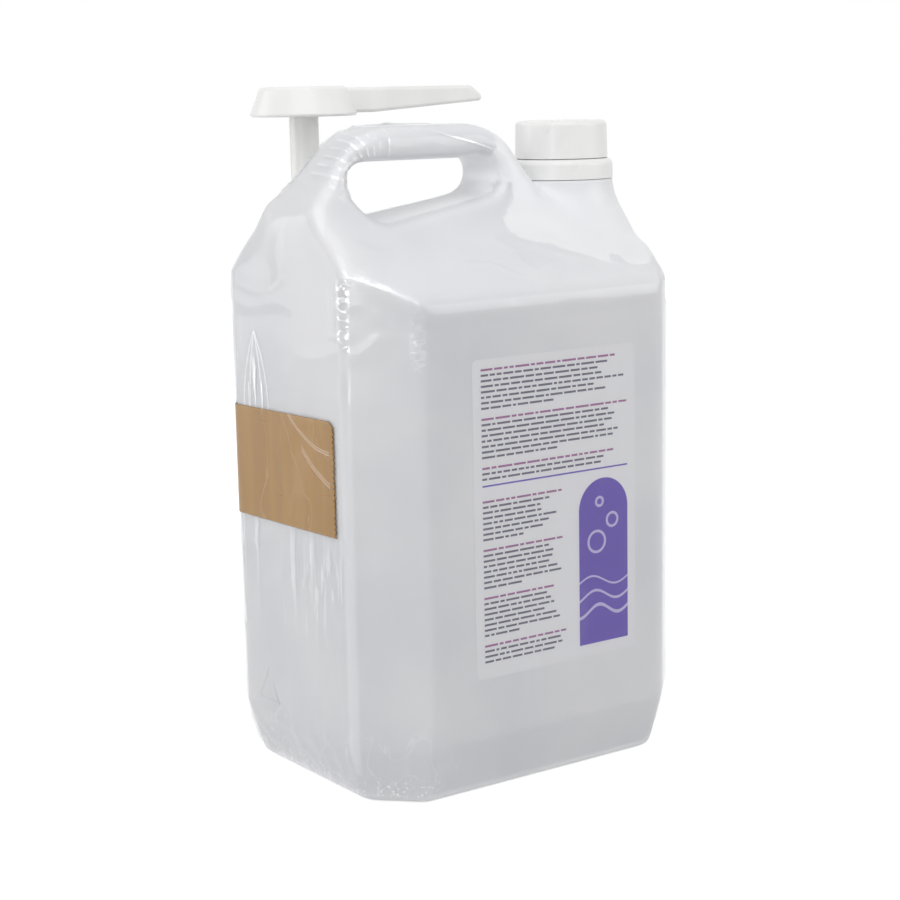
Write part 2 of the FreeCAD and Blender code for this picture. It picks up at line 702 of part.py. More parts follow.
def can_hollow():
    """The space inside the can"""
    wall = size["wall"]
    plan = can_plan("hollow_plan", wall)
    body = new_body("hollow_profile")
    deep = half_width - wall
    shoulder = size["shoulder_height"] - wall
    crest = deep - (hollow_height - shoulder) / size["roof_slope"]
    section = outline(body, "YZ_Plane", [
        (-deep, 0), (deep, 0), (deep, shoulder, size["shoulder_round"]), (crest, hollow_height),
        (-crest, hollow_height), (-deep, shoulder, size["shoulder_round"])])
    block = extrude(body, "Pad", section, size["can_length"] - wall * 2, both=True)

    def on_gable(point):
        return abs(abs(point.x) - half_length.value + wall.value) < 0.01 and point.z > 1

    round_edges(body, block, size["gable_round"], on_gable)
    cut_hips(body, wall * 3)
    inside = joined("Common", "hollow_inside", plan, body)
    mouth = new_body("hollow_mouth")
    low = neck_foot_height - size["neck_depth"]
    revolve(mouth, "Revolution", outline(mouth, "XZ_Plane", [
        (0, low), (size["neck_bore"], low), (size["neck_bore"], mouth_height + size["overshoot"]),
        (0, mouth_height + size["overshoot"])]))
    place(mouth, neck_place)
    return joined("Fuse", "can_hollow", inside, mouth)


def can_body():
    solid = joined("Common", "can_solid", can_plan("can_plan", as_size(0)), can_profile())
    shell = joined("Cut", "can_shell", solid, can_hollow())
    ridge_radius = size["neck_radius"] + size["running_fit"]
    ridge = coil_feature("neck_thread", ridge_radius.value, thread_heights(neck_thread_start.value),
                         size["thread_ridge"].value)
    place(ridge, neck_place)
    threaded = joined("Fuse", "can_threaded", shell, ridge)
    finished = new_body("can_finished")
    finished.BaseFeature = threaded
    doc.recompute()

    def on_floor(point):
        return abs(point.z) < 0.01

    round_edges(finished, finished.Tip, size["base_round"], on_floor)
    panel_half = half_length - size["corner_cut"] - size["panel_border"]
    panel = [
        (-panel_half, panel_low, size["panel_round"]), (panel_half, panel_low, size["panel_round"]),
        (panel_half, panel_high, size["panel_round"]), (-panel_half, panel_high, size["panel_round"])]
    front = outline(finished, "XZ_Plane", panel, lift=half_width)
    extrude(finished, "Pocket", front, size["panel_recess"])
    back = outline(finished, "XZ_Plane", panel, lift=-half_width)
    extrude(finished, "Pocket", back, size["panel_recess"], reverse=True)
    tall = size["mark_side"] * math.sqrt(3) / 2
    inner = size["mark_side"] / 2 - size["mark_line"] * math.sqrt(3)
    inner_low = size["mark_height"] + size["mark_line"]
    inner_high = size["mark_height"] + tall - size["mark_line"] * 2
    mark = outline(
        finished, "YZ_Plane",
        [(size["mark_place"] - size["mark_side"] / 2, size["mark_height"]),
         (size["mark_place"] + size["mark_side"] / 2, size["mark_height"]),
         (size["mark_place"], size["mark_height"] + tall)],
        [(size["mark_place"] - inner, inner_low), (size["mark_place"] + inner, inner_low),
         (size["mark_place"], inner_high)],
        lift=-half_length)
    extrude(finished, "Pad", mark, size["mark_rise"], reverse=True)
    return keep(finished, "can_body")


def front_label():
    body = new_body("label")
    half = size["label_width"] / 2
    left = size["label_place"] - half
    right = size["label_place"] + half
    sketch = outline(body, "XZ_Plane", [
        (left, label_low, size["label_round"]), (right, label_low, size["label_round"]),
        (right, label_high, size["label_round"]), (left, label_high, size["label_round"])],
        lift=half_width - size["panel_recess"])
    extrude(body, "Pad", sketch, size["label_thick"])
    return keep(body, "front_label")


def threaded_closure(name, shell, thread_start, x, y, turn=0):
    """Joins a closure with the thread inside it, at its place"""
    heights = thread_heights(thread_start.value)
    ridge = coil_feature(name + "_thread", cap_thread_radius.value, heights, cap_ridge.value, turn)
    return joined("Fuse", name, place(shell, x, y), place(ridge, x, y))


def screw_cap():
    top_radius = cap_radius - size["cap_draft"]
    shell = turned("cap_shell", [
        (cap_bore, cap_low), (cap_radius, cap_low), (top_radius, cap_high, size["cap_round"]),
        (0, cap_high), (0, cap_ceiling), (cap_bore, cap_ceiling)])
    start = cap_thread_start + size["thread_pitch"] / 4
    return keep(threaded_closure("cap", shell, start, neck_place, 0, turn=90), "screw_cap")


def cap_liner():
    radius = cap_thread_radius - cap_ridge - size["part_gap"]
    disc = turned("liner", [(0, liner_low), (radius, liner_low), (radius, liner_high), (0, liner_high)])
    return keep(place(disc, neck_place), "cap_liner")


def tamper_band():
    bore = size["band_radius"] - size["band_wall"]
    lip = bore - size["band_lip"]
    lip_high = band_low + size["band_lip_thick"]
    ring = turned("band", [
        (lip, band_low), (size["band_radius"], band_low),
        (size["band_radius"], band_high, size["band_round"]), (bore, band_high),
        (bore, lip_high), (lip, lip_high)])
    return keep(place(ring, neck_place), "tamper_band")


def pump_head():
    body = new_body("head")
    spout_high = head_high - size["spout_step"]
    tip_low = spout_high - size["spout_tip_thick"]
    side = outline(body, "XZ_Plane", [
        (0, head_low + size["head_edge_round"]),
        (size["spout_level"], head_low + size["head_edge_round"], size["spout_level"]),
        (size["spout_length"], tip_low, size["spout_tip_round"]),
        (size["spout_length"] - size["spout_nose"], spout_high, size["spout_tip_round"]), (0, spout_high)])
    extrude(body, "Pad", side, size["spout_width"], both=True)
    half = size["spout_width"] / 2
    tip_half = size["spout_tip_width"] / 2
    wide = half + size["overshoot"]
    for turn in (1, -1):
        flank = outline(body, "XY_Plane", [
            (size["head_top_radius"], turn * half), (size["spout_length"], turn * tip_half),
            (size["spout_length"] + size["overshoot"], turn * tip_half),
            (size["spout_length"] + size["overshoot"], turn * wide), (size["head_top_radius"], turn * wide)])
        cut = extrude(body, "Pocket", flank, head_high + size["overshoot"], reverse=True)
    inner = size["head_top_radius"].value

    def along_spout(point):
        return point.x > inner and abs(point.y) > 1

    round_edges(body, cut, size["spout_round"], along_spout)
    revolve(body, "Revolution", outline(body, "XZ_Plane", [
        (0, head_low), (size["head_radius"], head_low, size["head_edge_round"]),
        (size["head_top_radius"], head_high, size["head_round"]), (0, head_high)]))
    boss = size["stem_radius"] + size["head_boss"]
    hollow = size["head_radius"] - size["head_skin"]
    ceiling = head_low + size["head_hollow"]
    revolve(body, "Groove", outline(body, "XZ_Plane", [
        (boss, head_low), (hollow, head_low), (hollow - size["head_edge_round"], ceiling), (boss, ceiling)]))
    socket = size["stem_radius"] + size["running_fit"]
    bore_height = head_high - size["spout_bore_drop"]
    revolve(body, "Groove", outline(body, "XZ_Plane", [
        (0, head_low), (socket, head_low), (socket, stem_high), (size["stem_bore"], stem_high),
        (size["stem_bore"], bore_height), (0, bore_height)]))
    channel = circle(body, "YZ_Plane", 0, bore_height, size["spout_bore"])
    extrude(body, "Pocket", channel, size["spout_length"] + size["overshoot"], reverse=True)
    return keep(place(body, size["pump_place"], pump_back), "pump_head")


def pump_stem():
    chamber_high = seated_height(outlet_seat_low, chamber_radius) + size["outlet_lift"] + size["ball_radius"]
    socket = size["hub_radius"] + size["running_fit"]
    stem = turned("stem", [
        (socket, stem_low), (size["stem_radius"], stem_low), (size["stem_radius"], stem_high),
        (size["stem_bore"], stem_high), (size["stem_bore"], chamber_high),
        (chamber_radius, chamber_high), (chamber_radius, hub_high + size["part_gap"]),
        (socket, hub_high + size["part_gap"])])
    return keep(place(stem, size["pump_place"], pump_back), "pump_stem")


def piston():
    web_high = piston_low + size["piston_web"]
    skirt = piston_radius - size["piston_wall"]
    groove = piston_radius - size["ring_depth"]
    groove_low = piston_low + size["ring_place"]
    groove_high = groove_low + size["ring_width"]
    body = turned("piston_blank", [
        (size["valve_bore"], piston_low), (piston_radius, piston_low), (piston_radius, groove_low),
        (groove, groove_low), (groove, groove_high), (piston_radius, groove_high),
        (piston_radius, piston_high), (skirt, piston_high), (skirt, web_high),
        (size["hub_radius"], web_high), (size["hub_radius"], hub_high), (chamber_radius, hub_high),
        (size["valve_bore"], outlet_seat_low)])
    return keep(place(body, size["pump_place"], pump_back), "piston")


def piston_ring():
    low = piston_low + size["ring_place"] + size["seal_gap"]
    high = low + size["ring_width"] - size["seal_gap"] * 2
    inner = piston_radius - size["ring_depth"] + size["seal_gap"]
    outer = cylinder_bore - size["press_fit"]
    ring = turned("ring", [(inner, low), (outer, low), (outer, high), (inner, high)])
    return keep(place(ring, size["pump_place"], pump_back), "piston_ring")


def valve_ball(name, middle):
    ball = doc.addObject("Part::Sphere", name)
    ball.setExpression("Radius", size["ball_radius"].text)
    return keep(place(ball, size["pump_place"], pump_back, middle), name)


def pump_cylinder():
    cone_low = cylinder_low - size["cone_height"]
    socket = size["tube_radius"] + size["press_fit"]
    socket_high = tail_low + size["tube_socket"]
    body = turned("cylinder_blank", [
        (socket, tail_low), (size["tail_radius"], tail_low), (size["tail_radius"], cone_low),
        (size["cylinder_radius"], cylinder_low), (size["cylinder_radius"], flange_low),
        (size["flange_radius"], flange_low), (size["flange_radius"], cylinder_high),
        (cylinder_bore, cylinder_high), (cylinder_bore, bore_floor), (chamber_radius, bore_floor),
        (chamber_radius, seat_high), (size["valve_bore"], seat_low), (size["valve_bore"], socket_high),
        (socket, socket_high)])
    return keep(place(body, size["pump_place"], pump_back), "pump_cylinder")


def stem_guide():
    bore = size["stem_radius"] + size["running_fit"]
    plug = cylinder_bore - size["running_fit"]
    body = turned("guide", [
        (bore, plug_low), (plug, plug_low), (plug, cylinder_high), (size["flange_radius"], cylinder_high),
        (size["flange_radius"], guide_high), (boss_radius, guide_high), (boss_radius, boss_high),
        (bore, boss_high)])
    return keep(place(body, size["pump_place"], pump_back), "stem_guide")


def neck_gasket():
    inner = size["cylinder_radius"] + size["part_gap"]
    low = flange_low - size["gasket_thick"]
    ring = turned("gasket", [
        (inner, low), (size["flange_radius"], low), (size["flange_radius"], flange_low), (inner, flange_low)])
    return keep(place(ring, size["pump_place"], pump_back), "neck_gasket")


def pump_collar():
    radius = cap_bore + size["collar_wall"]
    hole = boss_radius + size["part_gap"]
    shell = turned("collar_shell", [
        (cap_bore, collar_low), (radius, collar_low), (radius, collar_high, size["head_edge_round"]),
        (hole, collar_high), (hole, collar_ceiling), (cap_bore, collar_ceiling)])
    rib_low = collar_low + size["collar_rib_border"]
    rib = circle(shell, "XY_Plane", radius, 0, size["collar_rib"], lift=rib_low)
    rib_length = size["collar_height"] - size["collar_rib_border"] * 2
    repeat_round(shell, extrude(shell, "Pad", rib, rib_length), size["collar_ribs"])
    start = collar_low + cap_ridge + size["collar_rib_border"]
    collar = threaded_closure("collar", shell, start, size["pump_place"], pump_back)
    return keep(collar, "pump_collar")


def ball_retainer():
    """Cage over the inlet ball, on which the spring stands"""
    sleeve = chamber_radius - size["press_fit"]
    flange = cylinder_bore - size["running_fit"]
    top_of_lift = seated_height(seat_low, chamber_radius) + size["ball_radius"] + size["inlet_lift"]
    body = turned("cage", [
        (size["cage_hole"], top_of_lift + size["part_gap"]), (sleeve, top_of_lift + size["part_gap"]),
        (sleeve, bore_floor), (flange, bore_floor), (flange, cage_high), (size["cage_hole"], cage_high)])
    slot = circle(body, "XY_Plane", size["cage_slot_place"], 0, size["cage_slot"], lift=cage_high)
    repeat_round(body, extrude(body, "Pocket", slot, size["cage_flange"]), size["cage_slots"])
    return keep(place(body, size["pump_place"], pump_back), "ball_retainer")


def spring_heights():
    """Heights of the spring's wire at each quarter turn, with a closed turn at each end"""
    wire = size["wire_radius"].value
    low = cage_high.value + wire + size["seal_gap"].value
    high = piston_low.value - wire - size["seal_gap"].value
    closed = wire * 2 + size["coil_close_gap"].value
    turns = round(size["coil_turns"].value)
    rise = (high - low - closed * 2) / (turns - 2)
    heights = [low]
    for quarter in range(turns * 4):
        at_end = quarter < 4 or quarter >= (turns - 1) * 4
        heights.append(heights[-1] + (closed if at_end else rise) / 4)
    return heights


def least_coil_gap(radius, heights, wire):
    """Least room between the spring's turns, measured on points along its wire"""
    points = coil_points(radius, heights)[0]
    gaps = []
    for i, point in enumerate(points):
        for other in points[i + 3:]:
            gaps.append((other - point).Length - 2 * wire)
    return min(gaps)


def return_spring():
    wire = size["wire_radius"].value
    radius = size["coil_radius"].value
    heights = spring_heights()
    print("least gap of the spring to itself: %.2f mm" % least_coil_gap(radius, heights, wire))
    spring = coil_feature("spring", radius, heights, wire)
    return keep(place(spring, size["pump_place"], pump_back), "return_spring")


def dip_tube():
    inner = size["tube_radius"] - size["tube_wall"]
    high = tail_low + size["tube_socket"] - size["seal_gap"]
    tube = turned("tube", [
        (inner, size["tube_lift"]), (size["tube_radius"], size["tube_lift"]), (size["tube_radius"], high),
        (inner, high)])
    return keep(place(tube, size["pump_place"], pump_back), "dip_tube")


def wrap_path(offset):
    """Plan of a wrap round can and pump, from the neck's end panel by the back to the post's end panel"""
    half_x = half_length + offset
    half_y = half_width + offset
    cut = size["corner_cut"] + offset * (2 - ROOT_TWO)
    rounding = size["corner_round"] + offset
    far = pump_back + size["cylinder_radius"] + offset
    return [
        (half_x, half_y - cut, rounding), (half_x - cut, half_y, rounding),
        (size["pump_place"] + size["wrap_right"], far, size["wrap_round"]),
        (size["pump_place"] - size["wrap_left"], far, size["wrap_round"]),
        (cut - half_x, half_y, rounding), (-half_x, half_y - cut, rounding)]


def stretch_film():
    body = new_body("film")
    low = size["base_height"] + size["seal_gap"]
    loops = []
    for offset in (size["film_gap"] + size["film_thick"], size["film_gap"]):
        half_x = half_length + offset
        half_y = half_width + offset
        cut = size["corner_cut"] + offset * (2 - ROOT_TWO)
        loops.append(wrap_path(offset) + octagon(half_x, half_y, cut, size["corner_round"] + offset)[4:])
    sketch = outline(body, "XY_Plane", *loops, lift=low)
    extrude(body, "Pad", sketch, size["shoulder_height"] - size["film_border"] - low)
    return keep(body, "stretch_film")


def packing_tape():
    body = new_body("tape")
    under = size["film_gap"] + size["film_thick"] + size["tape_gap"]
    over = under + size["tape_thick"]
    outer = [(half_length + over, size["tape_stop"])] + wrap_path(over)
    outer.append((-half_length - over, size["tape_start"]))
    inner = [(half_length + under, size["tape_stop"])] + wrap_path(under)
    inner.append((-half_length - under, size["tape_start"]))
    sketch = outline(body, "XY_Plane", outer + inner[::-1], lift=size["tape_low"])
    extrude(body, "Pad", sketch, size["tape_width"])
    return keep(body, "packing_tape")


def check_document():
    """Stops where a feature failed or a sub-part isn't one sound solid"""
    failed = [item.Name for item in doc.Objects if {"Invalid", "Error"} & set(item.State)]
    for item in nodes:
        shape = item.Shape
        if shape.isNull() or not shape.isValid() or len(shape.Solids) != 1:
            failed.append(item.Label)
    if failed:
        raise RuntimeError("failed: " + ", ".join(failed))


def write_parts():
    os.makedirs("parts", exist_ok=True)
    for item in nodes:
        item.Shape.exportStep(os.path.join("parts", item.Label + ".step"))


def main():
    can_body()
    front_label()
    screw_cap()
    cap_liner()
    tamper_band()
    pump_head()
    pump_stem()
    piston()
    piston_ring()
    pump_cylinder()
    stem_guide()
    neck_gasket()
    pump_collar()
    ball_retainer()
    return_spring()
    valve_ball("inlet_ball", seated_height(seat_low, chamber_radius))
    valve_ball("outlet_ball", seated_height(outlet_seat_low, chamber_radius))
    dip_tube()
    stretch_film()
    packing_tape()
    doc.recompute()
    check_document()
    write_parts()


main()
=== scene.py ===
import json
import math

import bmesh
import bpy
import numpy as np
from bpy.props import FloatProperty, FloatVectorProperty, IntProperty, PointerProperty
from mathutils import Matrix, Vector, geometry, noise
from mathutils.bvhtree import BVHTree


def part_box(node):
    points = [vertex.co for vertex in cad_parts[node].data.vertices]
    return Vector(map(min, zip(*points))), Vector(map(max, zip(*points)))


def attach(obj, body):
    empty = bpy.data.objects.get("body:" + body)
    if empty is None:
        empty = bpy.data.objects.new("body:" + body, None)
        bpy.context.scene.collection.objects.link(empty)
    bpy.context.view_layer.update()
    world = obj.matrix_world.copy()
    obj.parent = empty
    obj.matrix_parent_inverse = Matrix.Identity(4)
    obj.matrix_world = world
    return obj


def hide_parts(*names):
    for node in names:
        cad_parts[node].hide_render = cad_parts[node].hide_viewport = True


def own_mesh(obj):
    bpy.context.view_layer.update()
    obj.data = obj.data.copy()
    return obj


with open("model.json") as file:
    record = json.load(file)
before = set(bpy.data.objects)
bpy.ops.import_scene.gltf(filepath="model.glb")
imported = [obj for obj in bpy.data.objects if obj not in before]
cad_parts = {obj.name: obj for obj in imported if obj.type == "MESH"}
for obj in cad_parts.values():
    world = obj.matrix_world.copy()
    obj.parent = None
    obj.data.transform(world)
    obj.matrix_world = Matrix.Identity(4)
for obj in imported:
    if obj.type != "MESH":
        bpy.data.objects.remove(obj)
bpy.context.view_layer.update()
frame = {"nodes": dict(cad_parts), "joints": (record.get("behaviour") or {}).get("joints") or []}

bl_info = {
    "name": "Lotion Can Dresser",
    "version": (1, 0, 0),
    "blender": (4, 5, 0),
    "location": "View3D > Sidebar > Lotion Can",
    "description": "Gives a packed lotion can its moulded shell, label, pump, tape, film and studio",
    "category": "Object",
}

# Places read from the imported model
CAN_LOW, CAN_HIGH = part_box("can_body")
BAND_LOW, BAND_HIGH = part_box("tamper_band")
LABEL_LOW, LABEL_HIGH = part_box("front_label")
FILM_LOW, FILM_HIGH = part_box("stretch_film")
TAPE_LOW, TAPE_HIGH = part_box("packing_tape")
SPRING_LOW, SPRING_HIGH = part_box("return_spring")
NECK_AXIS = (BAND_LOW + BAND_HIGH) / 2
BAND_RADIUS = (BAND_HIGH.x - BAND_LOW.x) / 2
SPRING_AXIS = (SPRING_LOW + SPRING_HIGH) / 2
SPRING_RADIUS = (SPRING_HIGH.x - SPRING_LOW.x) / 2
COLLAR_LOW, COLLAR_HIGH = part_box("pump_collar")
PUMP_AXIS = (COLLAR_LOW + COLLAR_HIGH) / 2
COLLAR_RADIUS = (COLLAR_HIGH.x - COLLAR_LOW.x) / 2
PRESS_TRAVEL = next(j for j in frame["joints"] if j["name"] == "plunger_press")["range_m"][1]
MERGE = 1e-6

# Lamps by name: place, width, height and power; each looks at the can's middle
LAMPS = {
    "key_light": ((-0.45, -0.7, 1.3), 1.4, 1.1, 8.4),
    "post_fill": ((-1.0, 0.9, 0.45), 0.9, 0.9, 4.5),
    "facet_strip": ((-1.25, -0.75, 0.35), 0.1, 0.9, 2.1),
    "neck_fill": ((1.0, -1.1, 0.7), 0.8, 0.8, 4.0),
    "roof_fill": ((0.1, 0.2, 1.6), 0.9, 0.9, 1.5)}
LAMP_AIM = (0, 0, 0.15)
FLOOR_HALF = 6.0

# Soft stretches of the shell: where each begins and ends, and its share of the flow
GAP_REACH, LEG_REACH, LEG_RISE = (0.004, 0.02), (0.008, 0.022), (0.01, 0.024)
GABLE_REACH, GABLE_RISE = (0.014, 0.04), (0.006, 0.022)
GAP_FLOW, GABLE_FLOW = 0.6, 0.8
SWELL_RUN = 0.035
SWELL_INNER, SWELL_OUTER, SWELL_RISE = (0.010, 0.022), (0.038, CAN_HIGH.y * 0.66), (-0.003, 0.02)

# Label artwork, in shares of the block's width and height
WAVES = 3
BUBBLES = ((0.36, 0.62, 0.17), (0.68, 0.74, 0.11), (0.42, 0.86, 0.07))

# Weights of the painted highlights on the film's creases and streaks, each where it is at its brightest
EDGE_FLECKS, EDGE_BAND = 0.85, 0.24
FRONT_FLECKS, FRONT_BAND = 0.18, 0.05
EAVE_FLECKS, EAVE_BAND = 0.35, 0.2
HAIR, UNDER_TAPE, DRIZZLE = 0.6, 0.28, 0.3
LEAF_LOOPS, LEAF_HEART = 0.26, 0.7
FOOT, HEM, HANDLE, FILM_END = 0.14, 0.5, 0.5, 0.7
THIN_LINE = (0.0009, 0.0002)
NEAR_WIDE, FRONT_WIDE, FAR_WIDE = 0.0038, 0.005, 0.009

# Share of its full lift that the film over roof and handle has, row by row from its edge
CROWN_EASE = (0.1, 0.3, 0.55, 0.8)


def tone(red, green, blue):
    """Linear colour of a screen colour, each channel from 0 to 255"""
    channels = []
    for level in (red, green, blue):
        share = level / 255
        channels.append(share / 12.92 if share < 0.04 else ((share + 0.055) / 1.055) ** 2.4)
    return (*channels, 1.0)


def length(name, description, default):
    return FloatProperty(name=name, description=description, default=default, unit="LENGTH", precision=5)


def share(name, description, default):
    return FloatProperty(name=name, description=description, default=default, min=0.0, max=1.0)


def number(name, description, default):
    return IntProperty(name=name, description=description, default=default, min=0)


def colour(name, description, default):
    return FloatVectorProperty(
        name=name, description=description, default=default, size=4, subtype="COLOR", min=0.0, max=1.0)


class CanSettings(bpy.types.PropertyGroup):
    """Moulded shell of the can, with its cap"""
    grain: length("Grain", "Edge length of the softened shell's faces", 0.002)
    soften: number("Softening", "Rounds of smoothing over the whole shell", 3)
    flow: number("Flow", "Further rounds where neck, gable and finger gap flow into the roof", 60)
    gap_left: length("Gap left", "Post's end of the finger gap", -0.064)
    gap_right: length("Gap right", "Leg's end of the finger gap", 0.017)
    gap_low: length("Gap low", "Lowest point of the finger gap", 0.2471)
    gap_high: length("Gap high", "Upper side of the finger gap", 0.2744)
    shoulder: length("Shoulder", "Height of the shoulder line", 0.2185)
    swell: length("Swell", "Rise of the roof on both sides of the post", 0.006)
    plastic: colour("Plastic", "Colour of the can", tone(238, 238, 240))
    shade: colour("Shade", "Colour of the can where its wall is thin", tone(229, 230, 233))
    cap: colour("Cap", "Colour of cap and tamper band", tone(240, 240, 239))
    mark_side: length("Mark side", "Side of the moulded triangle", 0.017)
    mark_line: length("Mark line", "Line width of the moulded triangle", 0.0016)
    mark_rise: length("Mark rise", "Relief of the moulded triangle", 0.0005)
    mark_place: length("Mark place", "Place of the moulded triangle, towards the back", 0.0238)
    mark_height: length("Mark height", "Height of the triangle's lower side", 0.0319)


class LabelSettings(bpy.types.PropertyGroup):
    """Printed paper on the front panel"""
    paper: colour("Paper", "Colour of the bare paper", tone(242, 242, 244))
    block: colour("Block", "Colour of the printed block", tone(112, 88, 186))
    pale: colour("Pale", "Colour of the lines on the block", tone(206, 198, 232))
    ink: colour("Ink", "Colour of the small print", tone(78, 70, 94))
    accent: colour("Accent", "Colour of the headings", tone(158, 72, 142))
    block_left: length("Block left", "Left side of the arched block", 0.0165)
    block_low: length("Block low", "Lower side of the arched block", 0.0585)
    block_high: length("Block high", "Crown of the arched block", 0.1335)
    margin: length("Margin", "Bare border round the small print", 0.0045)
    gutter: length("Gutter", "Bare strip between small print and block", 0.007)
    pitch: length("Line pitch", "Distance from one printed line to the next", 0.00235)
    bar: length("Bar height", "Height of a printed bar", 0.0009)
    short: length("Shortest bar", "Length of the shortest bar", 0.0016)
    long: length("Longest bar", "Length of the longest bar", 0.0078)
    space: length("Space", "Space between two bars", 0.0009)
    paragraph: number("Paragraph", "Lines from one paragraph to the next", 9)
    seed: number("Seed", "Seed of the bars' lengths", 7)


class PumpSettings(bpy.types.PropertyGroup):
    """Finishes of the pump and shape of its spring"""
    plastic: colour("Plastic", "Colour of head, stem and collar", tone(241, 241, 239))
    natural: colour("Natural", "Colour of the undyed plastic", tone(226, 229, 226))
    rubber: colour("Rubber", "Colour of the seals", tone(62, 62, 65))
    steel: colour("Steel", "Colour of spring and balls", tone(196, 197, 200))
    wire: length("Wire", "Radius of the spring wire", 0.0007)
    turns: number("Turns", "Turns of the spring", 9)
    end_gap: length("End gap", "Gap between the closed turns at each end", 0.00055)


class TapeSettings(bpy.types.PropertyGroup):
    """Brown packing tape round the pump"""
    brown: colour("Brown", "Colour of the tape", tone(172, 134, 84))
    crease: colour("Crease", "Colour of the tape's creases", tone(214, 184, 158))
    stop: length("Stop", "Place of the tape's end on the neck's end panel", 0.008)
    tooth: length("Tooth", "Depth of the cut edge's teeth", 0.0016)
    tooth_pitch: length("Tooth pitch", "Distance from tooth to tooth", 0.0025)
    grain: length("Grain", "Edge length of the tape's faces along its length", 0.0015)
    rows: number("Rows", "Rows of the tape's points across its width", 64)
    thick: length("Thickness", "Thickness of the tape", 0.0002)
    slant: FloatProperty(name="Slant", description="Drop of the tape per unit of its length", default=0.02)
    rise: length("Rise", "Rise of the tape's front end", 0.002)
    crumple: length("Crumple", "Height of the tape's creases", 0.0003)
    corner: length("Corner", "Rounding of the tape's upper front corner", 0.0045)
    pleat_low: length("Pleat low", "Height of the long pleat at the tape's front end", 0.154)
    pleat_curl: FloatProperty(name="Pleat curl", description="Upward curl of the long pleat", default=12.6)
    pleat_drop: length("Pleat drop", "Drop from the long pleat to the short one", 0.0138)
    pleat_slope: FloatProperty(
        name="Pleat slope", description="Rise of the short pleat per unit of run", default=0.32)
    pleat_run: length("Pleat run", "Run of the long pleat from the tape's front end", 0.036)


class FilmSettings(bpy.types.PropertyGroup):
    """Clear stretch film round can and pump"""
    grain: length("Grain", "Edge length of the film's faces", 0.0017)
    tint: colour("Tint", "Colour of the film's reflections", tone(250, 251, 253))
    gloss: share("Gloss", "Roughness of the film's reflections", 0.13)
    haze: share("Haze", "Share of the film that is not clear", 0.03)
    nick: length("Nick", "Depth of the creases over the can's upright edges", 0.0004)
    fold: length("Fold", "Depth of the folds on the panels", 0.0007)
    crush: length("Crush", "Depth of the crumples over the foot", 0.0008)
    hem: length("Hem", "Height of the film's lower edge over the floor", 0.0035)
    seam: length("Seam", "Drop from the wound film's edge to the film over the roof", 0.004)
    # Gloss share of the painted highlights on the film's creases
    painted_sheen: share("Sheen", "Share of gloss in the creases", 0.6)
    corner: length("Corner", "Width of the can's corner facets along the can", 0.025)
    nick_low: length("Nick low", "Lower end of the creases over the upright edges", 0.198)
    nick_high: length("Nick high", "Upper end of the creases over the upright edges", 0.232)
    # Eave, streaks, leaf, foot crumples and film end below place painted highlights in the film's gloss share
    eave_high: length("Eave high", "Upper end of the crease where roof and corner facet meet", 0.2328)
    eave_slope: FloatProperty(
        name="Eave slope", description="Drop of that crease per unit of run", default=0.55)
    streak_low: length("Streak low", "Lower end of the folds under the tape", 0.072)
    leaf_place: length("Leaf place", "Place of the leaf-shaped fold over the tape", 0.0255)
    leaf_height: length("Leaf height", "Height of the leaf-shaped fold", 0.035)
    leaf_half: length("Leaf half", "Half width of the leaf-shaped fold", 0.0105)
    foot_high: length("Foot high", "Upper end of the crumples round the foot", 0.042)
    streak_place: length("Streak place", "Start of the long crease on the handle, along the can", -0.018)
    streak_high: length("Streak high", "Start of the long crease on the handle, over the floor", 0.2868)
    end_place: length("End place", "Place of the film's end across the grip, along the can", -0.0434)
    slack: length("Slack", "Room between the film and roof or handle", 0.0006)
    draw_in: length("Draw-in", "Farthest that the film is drawn in over the foot", 0.016)
    tear: length("Tear", "Unevenness of the film's torn edge beside the neck", 0.012)
    bend_place: length("Bend place", "Middle of the handle's bend over the post, along the can", -0.048)
    bend_height: length("Bend height", "Middle of the handle's bend over the post, over the floor", 0.262)
    seed: number("Seed", "Seed of the film's folds", 3)


class StageSettings(bpy.types.PropertyGroup):
    """Floor, light and camera"""
    place: FloatVectorProperty(
        name="Place", description="Place of the camera", default=(-0.531, -0.746, 0.3065), subtype="XYZ",
        unit="LENGTH")
    azimuth: FloatProperty(
        name="Azimuth", description="Turn of the camera to the left", default=math.radians(35.29),
        subtype="ANGLE")
    elevation: FloatProperty(
        name="Elevation", description="Tilt of the camera", default=math.radians(10.3), subtype="ANGLE")
    roll: FloatProperty(
        name="Roll", description="Roll of the camera", default=math.radians(-1.12), subtype="ANGLE")
    lens: FloatProperty(name="Lens", description="Focal length in millimetres", default=80.4)
    sensor: FloatProperty(name="Sensor", description="Sensor width in millimetres", default=36.0)
    ambient: share("Ambient", "Strength of the light from all round", 0.46)
    floor: colour("Floor", "Colour of the floor", tone(225, 225, 225))
    glow: share("Glow", "Light that the floor shows by itself", 0.68)


class Wire:
    """A node's output that takes part in arithmetic: each operation adds a Math node"""

    def __init__(self, tree, socket):
        self.tree = tree
        self.socket = socket

    def __add__(self, other):
        return self.tree.math("ADD", self, other)

    def __sub__(self, other):
        return self.tree.math("SUBTRACT", self, other)

    def __mul__(self, other):
        return self.tree.math("MULTIPLY", self, other)

    def __truediv__(self, other):
        return self.tree.math("DIVIDE", self, other)

    def __pow__(self, other):
        return self.tree.math("POWER", self, other)

    def __gt__(self, other):
        return self.tree.math("GREATER_THAN", self, other)

    def __lt__(self, other):
        return self.tree.math("LESS_THAN", self, other)

    def __rsub__(self, other):
        return self.tree.math("SUBTRACT", other, self)

    __radd__ = __add__
    __rmul__ = __mul__

    def __abs__(self):
        return self.tree.math("ABSOLUTE", self)


